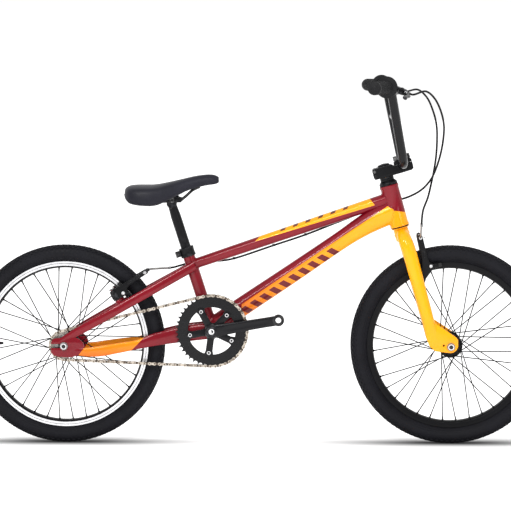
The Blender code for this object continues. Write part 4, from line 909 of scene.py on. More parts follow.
def wheel_spokes(name, centre, body, flange_r, flange_y):
    verts, faces = [], []
    nip_v, nip_f = [], []

    def add(path, radius, sides, vs, fs):
        first = len(vs)
        radii = radius if hasattr(radius, "__len__") else [radius] * len(path)
        for (p, s, u), r in zip(frames(path), radii):
            for k in range(sides):
                a = 2 * math.pi * k / sides
                vs.append(p + s * (r * math.cos(a)) + u * (r * math.sin(a)))
        fs += ring_faces(len(path), sides, False, first)
        fs.append(tuple(range(first, first + sides)))
        fs.append(tuple(range(first + (len(path) - 1) * sides, first + len(path) * sides)))
    for side in (-1, 1):
        for k in range(18):
            hub = math.radians(20 * k + (5 if side < 0 else 15))
            leads = k % 2 == 0
            tip = hub + math.radians(60 if leads else -60)
            y0 = side * (flange_y + (4.4 if leads else -3.6))
            hole = centre + Vector((flange_r * math.cos(hub), side * flange_y, flange_r * math.sin(hub)))
            bend = centre + Vector((flange_r * math.cos(hub), y0, flange_r * math.sin(hub)))
            head = hole * 2 - bend
            end = centre + Vector((196.0 * math.cos(tip), side * 1.3, 196.0 * math.sin(tip)))
            d = (end - bend).normalized()
            path = [head.lerp(hole, 0.3), hole, bend - (bend - hole).normalized() * 1.5, bend + d * 1.5, bend + d * 6]
            path += [bend.lerp(end, t) for t in (0.2, 0.5, 0.8)] + [end]
            add(path, 1.3, 8, verts, faces)
            h = (bend - hole).normalized()
            add([head.lerp(hole, 0.55) - h * 0.6, head.lerp(hole, 0.55) + h * 0.7], [2.1, 1.3], 10, verts, faces)
            tail = end - d * 4
            add([tail - d * 9, tail - d * 8.4, tail - d * 1.5, tail - d * 1.4, tail + d * 1.0], [1.2, 1.7, 1.7, 2.6, 2.6], 10, nip_v, nip_f)
    obj = emit(name, verts, faces, SPOKE, body, "spoke_steel")
    emit(name + "_nipples", nip_v, nip_f, SPOKE, body, "spoke_steel")
    return obj


def hub_looks(name, centre, body, flange_r, flange_y, end_r, end_y, neck=None):
    def half(flip):
        e_r, e_y = (neck if (flip and neck) else (end_r, end_y))
        return [(6.0, e_y), (e_r - 1, e_y), (e_r, e_y - 1), (e_r, flange_y + 3.5), (e_r + 2.0, flange_y + 1.6), (flange_r - 1.4, flange_y + 1.3), (flange_r, flange_y + 0.9),
                (flange_r, flange_y - 0.9), (flange_r - 1.4, flange_y - 1.3), (18.5, flange_y - 2.0), (15.5, flange_y - 6), (13.5, flange_y - 14), (13.0, 2)]
    loop = half(False) + [(r, -h) for r, h in reversed(half(True))]
    return lathe(name, loop, centre, (0, 1, 0), SATIN_BLACK, body, "black_alloy", 72)


for tag, centre, body, silver, fy in (("front", FRONT, "front_wheel", False, 31.0), ("rear", REAR, "rear_wheel", True, 28.5)):
    tyre(tag + "_tyre_looks", centre, body)
    rim(tag + "_rim_looks", centre, body, silver, 180 if silver else 119)
    wheel_spokes(tag + "_spokes_looks", centre, body, 25.5, fy)
    hub_looks(tag + "_hub_looks", centre, body, 30.0, fy, 16, 44.5 if tag == "front" else 48, None if tag == "front" else (14, 46.5))
    for part in ("tyre", "rim", "spokes", "hub"):
        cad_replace.append(("%s_%s_looks" % (tag, part), "%s_%s" % (tag, part)))


AXLE = plain("axle_steel", (0.035, 0.034, 0.034), 0.4, 0.8, 300, 0.08, 0.3)


def axle_looks(name, centre, body, inner, outer, end):
    ridges = []
    h = outer + 2
    while h < end - 1:
        ridges += [(4.75, h), (4.35, h + 0.6)]
        h += 1.2
    half = [(4.75, inner), (8, inner), (8, outer - 1.2), (7.4, outer - 0.4), (4.6, outer - 0.3)] + ridges + [(4.2, end - 0.2), (3.4, end), (0, end)]
    lathe(name, [(r, -h) for r, h in reversed(half)] + half, centre, (0, 1, 0), AXLE, body, "bright_steel", 32)


axle_looks("rear_axle_looks", REAR, "frame", 48.6, 55.3, 73)
axle_looks("front_axle_looks", FRONT, "steering", 45.1, 50.0, 67)
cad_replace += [("rear_axle_looks", "rear_axle"), ("front_axle_looks", "front_axle")]
for tag, centre, body, face in (("rear", REAR, "frame", 61.6), ("front", FRONT, "steering", 55.3)):
    for side, n in ((-1, "R"), (1, "L")):
        c = centre + Vector((0, side * face, 0))
        lathe("%s_nut_%s_washer" % (tag, n), [(5.3, 0), (9.9, 0), (10.2, 0.3), (10.2, 1.4), (9.4, 2.4), (5.3, 2.4)], c, (0, side, 0), ZINC, body, "bright_steel", 48)
        verts, faces = [], []
        cc, x, y, z = axes(c, (0, side, 0))
        rows = [(5.2, 2.2, 36), (8.5, 2.2, 36), (8.5, 7.6, 36), (7.3, 8.9, 36), (5.2, 8.9, 36)]
        for rr, hh, m in rows:
            for k in range(m):
                t = 2 * math.pi * k / m
                q = rr
                if rr == 8.5:
                    q = 7.5 / max(0.86, math.cos(((t + math.pi / 6) % (math.pi / 3)) - math.pi / 6))
                verts.append(cc + x * (q * math.cos(t)) + y * (q * math.sin(t)) + z * hh)
        faces = ring_faces(5, 36, True)
        emit("%s_nut_%s_looks" % (tag, n), verts, faces, CHROME, body, "bright_steel", sharp=25)
        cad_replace.append(("%s_nut_%s_looks" % (tag, n), "%s_nut_%s" % (tag, n)))

# ------------------------------------------------------------------ drive
PITCH = 12.7
RING_R = PITCH / 2 / math.sin(math.pi / 44)
COG_R = PITCH / 2 / math.sin(math.pi / 18)
CHAIN_Y = -41.5
RISE = 10.55


def teeth(count, pitch_r, tip, start=0.0):
    out = []
    for i in range(count):
        for f, r in ((-0.30, pitch_r - 2.6), (-0.16, pitch_r - 4.0), (0.16, pitch_r - 4.0), (0.30, pitch_r - 2.6), (0.40, pitch_r + 0.6), (0.47, tip), (0.53, tip), (0.60, pitch_r + 0.6)):
            a = math.radians(start) + 2 * math.pi * (i + f) / count
            out.append((r * math.cos(a), r * math.sin(a)))
    return out


SPIDER = [RISE + 36 + 72 * k for k in range(5)]
bb_plane = plane_at(BB + Vector((0, CHAIN_Y, 0)), (1, 0, 0), (0, 0, 1))
line_deg = math.degrees(math.atan2(REAR.z - BB.z, REAR.x - BB.x))
lean_deg = math.degrees(math.asin((RING_R - COG_R) / (REAR - BB).length))
START_DEG = line_deg + 90 - lean_deg      # where the chain leaves the ring, measured at its centre


def ring_window():
    loop = []
    for a in SPIDER:
        loop += arc(0, 0, 59.5, a + 11, a + 61, 12)
        loop += [(51 * math.cos(math.radians(a + 62)), 51 * math.sin(math.radians(a + 62))), (47.4 * math.cos(math.radians(a + 66)), 47.4 * math.sin(math.radians(a + 66))),
                 (47.0 * math.cos(math.radians(a + 72)), 47.0 * math.sin(math.radians(a + 72))), (47.4 * math.cos(math.radians(a + 78)), 47.4 * math.sin(math.radians(a + 78))),
                 (51 * math.cos(math.radians(a + 82)), 51 * math.sin(math.radians(a + 82)))]
    return loop


holes = [circle(55 * math.cos(math.radians(a)), 55 * math.sin(math.radians(a)), 5.4, 20) for a in SPIDER]
slab("chainring_looks", teeth(44, RING_R, RING_R + 2.6, START_DEG), 2.9, bb_plane, GLOSS_BLACK, "crankset", "black_paint", [ring_window()] + holes, bevel=0.35, steps=1)
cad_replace.append(("chainring_looks", "chainring"))
for i, a in enumerate(SPIDER):
    c = BB + Vector((55 * math.cos(math.radians(a)), 0, 55 * math.sin(math.radians(a))))
    socket_bolt("ring_bolt_%d" % i, 4.9, c - Vector((0, 47.2, 0)), c - Vector((0, 49.6, 0)), CHROME, "crankset", "bright_steel")
    rod("ring_nut_%d" % i, 5.2, c - Vector((0, 40.0, 0)), c - Vector((0, 39.2, 0)), CHROME, "crankset", "bright_steel", 24)


def forged_arm(name, side, mat):
    turn = math.radians(RISE if side < 0 else RISE + 180)
    out = Vector((math.cos(turn), 0, math.sin(turn)))
    up = Vector((0, 1, 0)).cross(out)
    stations = [(0, 54.5, 15.5, 6.2), (18, 55.4, 15.6, 6.2), (40, 57.6, 14.4, 5.9), (70, 61.6, 13.4, 5.6), (105, 67.0, 12.7, 5.4), (135, 72.4, 12.3, 5.5), (158, 76.4, 12.4, 5.9), (170, 77.6, 12.0, 6.1)]
    rows = []
    n = 36
    for r, y, h, w in [tuple(q) for q in catmull(stations, 6)]:
        row = []
        for k in range(n):
            a = 2 * math.pi * k / n
            c, s = math.cos(a), math.sin(a)
            cc = math.copysign(abs(c) ** 0.55, c)
            ss = math.copysign(abs(s) ** 0.62, s)
            groove = 0.0
            if 30 < r < 150 and cc * side > 0:      # shallow scoop on the outer face
                groove = 1.1 * math.exp(-(ss / 0.45) ** 2) * min(1, (r - 30) / 12, (150 - r) / 12)
            row.append(BB + out * r + Vector((0, side * y + cc * (w - groove * (1 if cc * side > 0 else 0)), 0)) + up * (ss * h))
        rows.append(row)
    verts = [v for row in rows for v in row]
    faces = ring_faces(len(rows), n) + [tuple(range(n)), tuple(range((len(rows) - 1) * n, len(rows) * n))]
    obj = emit(name, verts, faces, mat, "crankset", "black_paint")
    eye = BB + out * 170.0
    lathe(name + "_eye", [(7.1, 71), (13.6, 71), (14.5, 72), (14.5, 83), (13.6, 84), (7.9, 84), (7.1, 83.2)], Vector((eye.x, 0, eye.z)), (0, side, 0), mat, "crankset", "black_paint", 56)
    cut = bpy.data.objects.new("eye_cut", bpy.data.meshes.new("eye_cut"))
    bm = bmesh.new()
    m = Matrix.Translation(Vector((eye.x, side * 78, eye.z)) * MM) @ Matrix.Rotation(math.radians(90), 4, "X")
    bmesh.ops.create_cone(bm, cap_ends=True, segments=40, radius1=7.3 * MM, radius2=7.3 * MM, depth=40 * MM, matrix=m)
    bm.to_mesh(cut.data)
    bm.free()
    scene.collection.objects.link(cut)
    mod = obj.modifiers.new("eye", "BOOLEAN")
    mod.operation, mod.solver, mod.object = "DIFFERENCE", "EXACT", cut
    bpy.context.view_layer.update()
    new = bpy.data.meshes.new_from_object(obj.evaluated_get(bpy.context.evaluated_depsgraph_get()))
    obj.modifiers.clear()
    obj.data = new
    bpy.data.objects.remove(cut, do_unlink=True)
    obj.data.shade_smooth()
    obj.data.set_sharp_from_angle(angle=math.radians(38))
    lathe(name + "_boss", [(9.5, 43.6), (18.6, 43.6), (19.2, 44.4), (18.4, 52), (17.6, 58.5), (16.0, 61.0), (13.0, 61.6), (9.5, 61.6)], BB, (0, side, 0), mat, "crankset", "black_paint", 64)
    lathe(name + "_dust_ring", [(9.6, 61.2), (12.6, 61.2), (12.9, 61.7), (12.4, 62.4), (8.8, 62.4), (8.2, 60.6), (9.6, 60.4)], BB, (0, side, 0), SATIN_BLACK, "crankset", "black_alloy", 48)
    socket_bolt(name + "_bolt", 7.6, BB + Vector((0, side * 58.0, 0)), BB + Vector((0, side * 61.0, 0)), CHROME, "crankset", "bright_steel")
    return obj


forged_arm("crank_R_looks", -1, FORGED_BLACK)
forged_arm("crank_L_looks", 1, FORGED_BLACK)
rod("spindle_looks", 8.4, BB - Vector((0, 57.8, 0)), BB + Vector((0, 57.8, 0)), BOLT, "crankset", "black_steel")
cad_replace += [("crank_R_looks", "crank_R"), ("crank_L_looks", "crank_L"), ("spindle_looks", "spindle")]
star = []
for a in SPIDER:
    for r, d in ((20, -30), (24, -21), (38, -13.2)):
        star.append((r * math.cos(math.radians(a + d)), r * math.sin(math.radians(a + d))))
    star += [(55 * math.cos(math.radians(a)) + 8.8 * math.cos(math.radians(t)), 55 * math.sin(math.radians(a)) + 8.8 * math.sin(math.radians(t))) for t in [a - 80 + 160 * i / 12 for i in range(13)]]
    for r, d in ((38, 13.2), (24, 21), (20, 30)):
        star.append((r * math.cos(math.radians(a + d)), r * math.sin(math.radians(a + d))))
slab("spider_looks", star, 5.4, plane_at(BB + Vector((0, -46.2, 0)), (1, 0, 0), (0, 0, 1)), FORGED_BLACK, "crankset", "black_paint", bevel=1.1, steps=3)

m = plane_at(REAR + Vector((0, CHAIN_Y, 0)), (1, 0, 0), (0, 0, 1))
slab("freewheel_looks", teeth(18, COG_R, COG_R + 2.2, START_DEG), 2.9, m, COG, "freewheel_body", "bright_steel", [circle(0, 0, 20, 40)], bevel=0.35, steps=1)
lathe("freewheel_body_looks", [(15.3, 35), (24.2, 35), (25, 35.8), (25, 39.9), (26.8, 39.9), (26.8, 43.1), (25, 43.3), (24.6, 46.4), (23.8, 47.2), (15.3, 47.2)], REAR, (0, -1, 0), ZINC, "freewheel_body", "bright_steel", 64)
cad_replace.append(("freewheel_looks", "freewheel"))


def chain_points():
    """Pin places round the loop, 90 of them, pitch 12.7 mm."""
    dx, dz = REAR.x - BB.x, REAR.z - BB.z
    span = math.hypot(dx, dz)
    line = math.atan2(dz, dx)
    lean = math.asin((RING_R - COG_R) / span)
    half = math.pi / 2 - lean
    fine = []
    s, e = line + half, line - half + 2 * math.pi
    for i in range(400):
        a = s + (e - s) * i / 399
        fine.append(Vector((BB.x + RING_R * math.cos(a), CHAIN_Y, BB.z + RING_R * math.sin(a))))
    s, e = line - half, line + half
    for i in range(200):
        a = s + (e - s) * i / 199
        fine.append(Vector((REAR.x + COG_R * math.cos(a), CHAIN_Y, REAR.z + COG_R * math.sin(a))))
    fine.append(fine[0])
    return even(fine, 91)[:-1]


def chain():
    pins = chain_points()
    outer_v, outer_f, inner_v, inner_f, rolls_v, rolls_f, pins_v, pins_f = [], [], [], [], [], [], [], []
    n = len(pins)
    for i in range(n):
        a, b = pins[i], pins[(i + 1) % n]
        t = (b - a).normalized()
        u = Vector((-t.z, 0, t.x))
        outer = i % 2 == 0
        plates_v, plates_f = (outer_v, outer_f) if outer else (inner_v, inner_f)
        L = (b - a).length
        shape = []
        R = 4.05 if outer else 4.0
        waist = 3.0
        for k in range(9):
            w = math.radians(90 + 180 * k / 8)
            shape.append((R * math.cos(w), R * math.sin(w)))
        shape.append((L * 0.36, -waist))
        shape.append((L * 0.64, -waist))
        for k in range(9):
            w = math.radians(-90 + 180 * k / 8)
            shape.append((L + R * math.cos(w), R * math.sin(w)))
        shape.append((L * 0.64, waist))
        shape.append((L * 0.36, waist))
        for side in (-1, 1):
            y0, y1 = ((3.25, 4.3) if outer else (2.1, 3.1))
            first = len(plates_v)
            m = len(shape)
            for y, shrink in ((y0, 1.0), (y1 - 0.25, 1.0), (y1, 0.93)):
                for px, pz in shape:
                    cx = L / 2 + (px - L / 2) * (1 - (1 - shrink) * 0.4)
                    plates_v.append(a + t * cx + u * (pz * shrink) + Vector((0, side * y, 0)))
            plates_f += ring_faces(3, m, False, first)
            plates_f.append(tuple(range(first, first + m)))
            plates_f.append(tuple(range(first + 2 * m, first + 3 * m)))
        for r, y in ((3.85, 2.05), (1.75, 4.62)):
            vs, fs = (rolls_v, rolls_f) if r > 3 else (pins_v, pins_f)
            first = len(vs)
            for yy in (-y, y):
                for k in range(14):
                    w = 2 * math.pi * k / 14
                    vs.append(a + Vector((r * math.cos(w), yy, r * math.sin(w))))
            fs += ring_faces(2, 14, False, first)
            fs.append(tuple(range(first, first + 14)))
            fs.append(tuple(range(first + 14, first + 28)))
    emit("chain_looks", outer_v, outer_f, CHAIN, "frame", "chain_steel", sharp=30)
    emit("chain_inner_links", inner_v, inner_f, CHAIN_DARK, "frame", "chain_steel", sharp=30)
    emit("chain_rollers", rolls_v, rolls_f, CHAIN_DARK, "frame", "chain_steel", sharp=30)
    emit("chain_pins", pins_v, pins_f, CHAIN_DARK, "frame", "chain_steel", sharp=30)


chain()
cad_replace.append(("chain_looks", "chain"))

# ------------------------------------------------------------------ seat post and saddle
lathe("seatpost_looks", [(0, 130), (12.0, 130), (12.7, 130.7), (12.7, 300), (12.2, 306), (11.4, 318), (11.0, 326), (0, 326)], BB, seat_up, SATIN_BLACK, "seat_post", "black_alloy", 56)
lathe("post_head_looks", [(0, -14), (11.2, -14), (12, -13.2), (12, 13.2), (11.2, 14), (0, 14)], HEAD_POINT, (0, 1, 0), SATIN_BLACK, "seat_post", "black_alloy", 40,
      ripple=lambda a, r, h: 0.35 * math.cos(a * 36) if r > 11.5 else 0)
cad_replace.append(("seatpost_looks", "seatpost"))
for side, n in ((-1, "R"), (1, "L")):
    out = [(-22, 4.4), (-24.6, 8), (-24.6, 13.5), (-20, 16.2), (20, 16.2), (24.6, 13.5), (24.6, 8), (22, 4.4)]
    slab("clamp_cheek_" + n, out, 9.4, plane_at(HEAD_POINT + Vector((2, side * 19.6, 0)), (1, 0, 0), (0, 0, 1)), SATIN_BLACK, "saddle", "black_steel", bevel=1.2, steps=3)
    lathe("clamp_nut_" + n, [(0, 24.2), (6.2, 24.2), (6.6, 24.8), (6.2, 26.0), (3.0, 26.2), (2.8, 24.9), (0, 24.9)], HEAD_POINT + Vector((2, 0, 10)), (0, side, 0), BOLT, "saddle", "black_steel", 24)
brick("saddle_clamp_looks", (32, 46, 4.4), Matrix.Translation((HEAD_POINT + Vector((2, 0, 17.2))) * MM), SATIN_BLACK, "saddle", "black_steel", 1.4)
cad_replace.append(("saddle_clamp_looks", "saddle_clamp"))
RAIL_Z = HEAD_POINT.z + 7
rail_half = [(-292, 33, 617.5), (-268, 28, 612.2), (-252, 23, RAIL_Z), (-222, 21.6, RAIL_Z), (-197, 21, RAIL_Z + 1),
             (-190, 20.8, RAIL_Z + 4), (-178, 19.5, 624), (-163, 15.5, 637.5), (-152, 10, 643.0), (-147, 0, 644.6)]
rail = [(x, -y, z) for x, y, z in rail_half] + [(x, y, z) for x, y, z in reversed(rail_half[:-1])]
wire("saddle_rails_looks", smooth_path(rail, 110), 3.4, BOLT, "saddle", "black_steel", 16)
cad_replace.append(("saddle_rails_looks", "saddle_rails"))

SADDLE = [(-331.5, 36, 639.5, 624), (-328, 50, 644.5, 616), (-318, 64, 648.3, 607.5), (-300, 71, 649.8, 603.5), (-280, 72, 649.9, 601.8), (-264, 71.0, 650.0, 601.5), (-248, 66.5, 651.8, 604),
          (-235, 60.5, 654.3, 609.0), (-220, 52.5, 657.6, 616.0), (-205, 44.5, 661, 623.0), (-190, 37.5, 664.6, 630.3), (-177, 32.5, 667.8, 636.6), (-158, 26.5, 672.2, 643), (-140, 22.5, 675, 647.5),
          (-124, 20.0, 676.4, 650.6), (-112, 18, 675.8, 652.2), (-103, 15.0, 673.2, 654.0), (-97.5, 10.5, 669.6, 656.6)]


def saddle_pad():
    fine = catmull([(x, w, t, b) for x, w, t, b in SADDLE], 4)
    rows = []
    n_half = 18
    for x, w, t, b in [tuple(q) for q in fine]:
        under = max(b + 3.0, t - 22.0)
        half = [(0.0, t - 1.0 * min(1, w / 60)), (0.18 * w, t - 0.3), (0.42 * w, t), (0.62 * w, t - 1.8), (0.80 * w, t - 5.6), (0.92 * w, t - 11.0 * min(1, w / 40 + 0.3)),
                (0.985 * w, (t * 0.45 + b * 0.55)), (1.0 * w, b + 7.0), (0.985 * w, b + 3.0), (0.95 * w, b + 0.8), (0.90 * w, b), (0.84 * w, b + 1.0), (0.79 * w, under)]
        curve = catmull(half, 2)
        row = [Vector((x, q[0], q[1])) for q in curve] + [Vector((x, -q[0], q[1])) for q in reversed(curve[1:])]
        rows.append(row)
    n = len(rows[0])
    verts = [v for r in rows for v in r]
    faces = ring_faces(len(rows), n)
    faces += [tuple(range(n)), tuple(range((len(rows) - 1) * n, len(rows) * n))]
    obj = emit("saddle_pad_looks", verts, faces, VINYL, "saddle", "saddle_vinyl", sharp=80)
    # piping along the skirt
    seam = []
    for x, w, t, b in [tuple(q) for q in fine]:
        seam.append(Vector((x, 0.998 * w, b + 4.6)))
    ring = [Vector((p.x, -p.y, p.z)) for p in seam] + [Vector((p.x, p.y, p.z)) for p in reversed(seam)]
    wire("saddle_piping", even(ring, 220), 0.9, VINYL, "saddle", "saddle_vinyl", 8)
    return obj


saddle_pad()
inner = SADDLE[2:-1]
verts = []
for x, w, t, b in inner:
    z = max(b + 3.0, t - 22.0) - 0.5
    for q in ((0, z), (0.74 * w, z), (0.76 * w, z - 1.2), (0.74 * w, z - 2.8), (0, z - 2.8), (-0.74 * w, z - 2.8), (-0.76 * w, z - 1.2), (-0.74 * w, z)):
        verts.append((x, q[0], q[1]))
n = 8
emit("saddle_shell_looks", verts, ring_faces(len(inner), n) + [tuple(range(n)), tuple(range((len(inner) - 1) * n, len(inner) * n))], PLASTIC, "saddle", "saddle_plastic")
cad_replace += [("saddle_pad_looks", "saddle_pad"), ("saddle_shell_looks", "saddle_shell")]

# ------------------------------------------------------------------ fork
lathe("steerer_looks", [(12.2, -36), (16.4, -36), (18.2, -33), (18.8, -20), (18.2, -8), (17.5, -5.2), (21.6, -5.0), (22.3, -4.2), (22.0, -3.0), (14.3, -2.2), (14.3, 153.4), (13.6, 154), (12.2, 154)],
      HEAD, head_up, FORK, "steering", "orange_paint", 56)
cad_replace.append(("steerer_looks", "steerer_tube"))
for side, name in ((-1, "R"), (1, "L")):
    pts = [(on_head(v, u, side * y), r) for v, u, y, r in
           ((0, -20, 3, 14.0), (0, -20, 14, 14.6), (0.6, -21, 24, 15.4), (1.5, -25.5, 36, 16.6), (2.6, -34, 46.4, 17.1), (3.8, -47, 52.6, 17.4), (4.8, -66, 55, 17.4),
            (4.8, -110, 54.6, 16.9), (4.8, -160, 54, 16.2), (4.8, -215, 53.4, 15.6), (4.6, -250, 53.0, 15.0), (4.2, -275, 52.8, 14.4), (3.6, -295, 52.6, 13.6), (3.0, -306, 52.6, 11.4), (2.6, -312, 52.5, 7.0))]
    fine = catmull([(p.x, p.y, p.z, r) for p, r in pts], 6)
    path = [Vector(q[:3]) for q in fine]
    flat = []
    for q in path:
        u = (q - HEAD).dot(head_up)
        t = min(1, max(0, (-225 - u) / 70))
        flat.append((1 - 0.79 * t * t * (3 - 2 * t), 1.0))
    wire("fork_leg_%s_looks" % name, path, [q[3] for q in fine], FORK, "steering", "orange_paint", 40, squash=flat)
    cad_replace.append(("fork_leg_%s_looks" % name, "fork_leg_" + name))
    # bead round the leg at the crown
    wire("crown_weld_" + name, [on_head(18.4 * math.cos(a) * 1.0, -20 + 0 * a, 0) + Vector((0, side * (4 + 14.5 * abs(math.sin(a))), 0)) for a in [math.pi * i / 24 for i in range(25)]],
         [1.6 * (0.85 + 0.2 * abs(math.sin(i * 1.3))) for i in range(25)], FORK, "steering", "orange_paint", 8)
    end = [(442.3, 309.8), (470, 291.5), (490, 278.0), (498, 271.5), (500.6, 266), (500.8, 250), (496.5, 241.5), (490, 236.0), (483, 234.2), (446, 238.4), (438, 243), (431, 257), (420.5, 279.0), (419.5, 290), (424, 300), (432, 308)]
    slab("fork_end_" + name, end, 5.0, upright(side * 52.5), FORK, "steering", "orange_paint", [circle(FRONT.x, FRONT.z, 5.2, 24), circle(465, 253, 2.6, 16)], bevel=1.0, steps=3)
    lathe("front_boss_" + name, [(0, -8), (6.8, -7), (6.8, 3.6), (6.2, 4.7), (4.0, 4.9), (4.0, 19.2), (0, 19.5)], on_head(0, BRAKE_U, side * 29.0), head_fwd, FORK, "steering", "orange_paint", 24)
    brick("front_boss_arm_" + name, (9, 13, 13), plane_at(on_head(-1.6, BRAKE_U, side * 36.5), head_fwd, (0, 1, 0)), FORK, "steering", "orange_paint", 2.0)

lathe("headset_cover_looks", [(14.9, 109.3), (22.2, 109.3), (22.9, 110.0), (22.8, 112.4), (20.6, 115.6), (17.8, 118.8), (17.3, 119.4), (17.3, 123.6), (17.0, 123.9), (17.3, 124.2), (17.3, 127.8), (16.9, 128.2), (14.9, 128.2)],
      HEAD, head_up, SATIN_BLACK, "steering", "black_alloy", 64)
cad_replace.append(("headset_cover_looks", "headset_cover"))

# ------------------------------------------------------------------ stem and bar
stem_out = [(-28, 128.8), (14.5, 128.8), (40, 129.0), (66, 129.8), (70.5, 133), (71.4, 142), (71.2, 148.6), (59.6, 149.2)]
stem_out += arc(48, 149.7, 11.4, -3, -177, 14) + [(26, 149.2), (22.5, 153.4), (17, 156.6), (-26, 156.6), (-30.2, 154.0), (-31, 148), (-31, 137), (-30.4, 131.0)]
slab("stem_looks", stem_out, 44.0, steer_plane(0), SATIN_BLACK, "steering", "black_alloy", bevel=2.2, steps=4)
clamp_out = [(25.4, 151.0), (36.5, 151.0)] + arc(48, 149.7, 11.4, 173, 7, 14) + [(71.0, 151.0), (71.4, 154), (70, 158.4), (64, 163.2), (56, 164.6), (40, 164.6), (32, 163.0), (26.6, 158.4)]
slab("stem_clamp_plate_looks", clamp_out, 44.0, steer_plane(0), SATIN_BLACK, "steering", "black_alloy", bevel=1.8, steps=4)
for i, v in enumerate((32.0, 65.0)):
    for j, y in enumerate((-16, 16)):
        socket_bolt("stem_bolt_%d%d" % (i, j), 4.6, on_head(v, 161, y), on_head(v, 171.6, y), BOLT, "steering", "black_steel")
for u in (136.5, 149.0):
    rod("pinch_bolt_%d" % u, 3.6, on_head(-25.5, u, -23.2), on_head(-25.5, u, -19), BOLT, "steering", "black_steel", 20)
lathe("stem_cap_looks", [(0, 162.4), (3.2, 162.4), (3.6, 161.0), (5.2, 161.0), (6.0, 162.0), (13.6, 160.6), (15, 159.4), (15, 157.4), (14.4, 157.0), (0, 157.0)], HEAD, head_up, SATIN_BLACK, "steering", "black_alloy", 48)
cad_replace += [("stem_looks", "stem"), ("stem_clamp_plate_looks", "stem_clamp_plate"), ("stem_cap_looks", "stem_cap")]

BAR = on_head(48, 149.7)
GRIP_FROM, GRIP_TO = Vector((325, 187, 897.5)), Vector((282, 353.5, 896.4))
half = [BAR, Vector((BAR.x, 80, BAR.z)), GRIP_FROM, GRIP_TO]
corners = [Vector((p.x, -p.y, p.z)) for p in reversed(half[1:])] + half[1:]
wire("handlebar_looks", rounded(corners, [40, 52, 52, 40], 13), 11.1, GLOSS_BLACK, "steering", "black_paint", 36)
cross = half[1].lerp(GRIP_FROM, 0.60)
rod("crossbar_looks", 7.9, (cross.x, -cross.y + 6, cross.z), (cross.x, cross.y - 6, cross.z), GLOSS_BLACK, "steering", "black_paint", 32)
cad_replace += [("handlebar_looks", "handlebar"), ("crossbar_looks", "crossbar")]
for side in (-1, 1):
    d = (GRIP_FROM - half[1]).normalized()
    d = Vector((d.x, d.y * side, d.z))
    ringpts = []
    for i in range(40):
        a = 2 * math.pi * i / 40
        p = Vector((cross.x + 8.2 * math.cos(a), 0, cross.z + 8.2 * math.sin(a)))
        # push out along Y until the point lies on the upright's surface
        lo, hi = side * (cross.y - 40), side * cross.y
        base = Vector((half[1].x, side * 80, half[1].z))
        f = from_axis(base, d, 11.1)
        for _ in range(30):
            mid = (lo + hi) / 2
            if f(Vector((p.x, mid, p.z))) > 0:
                lo = mid
            else:
                hi = mid
        ringpts.append(Vector((p.x, lo, p.z)))
    wire("crossbar_weld_" + ("R" if side < 0 else "L"), ringpts, [1.4 * (0.85 + 0.25 * abs(math.sin(i * 1.1))) for i in range(40)], GLOSS_BLACK, "steering", "black_paint", 8, True)
# knurled middle of the bar shows beside the clamp
lathe("bar_knurl", [(11.1, -30), (11.3, -29.6), (11.3, 29.6), (11.1, 30), (10.6, 30), (10.6, -30)], BAR, (0, 1, 0), SATIN_BLACK, "steering", "black_alloy", 72, ripple=lambda a, r, h: 0.12 * math.cos(a * 36) if r > 11.2 else 0)

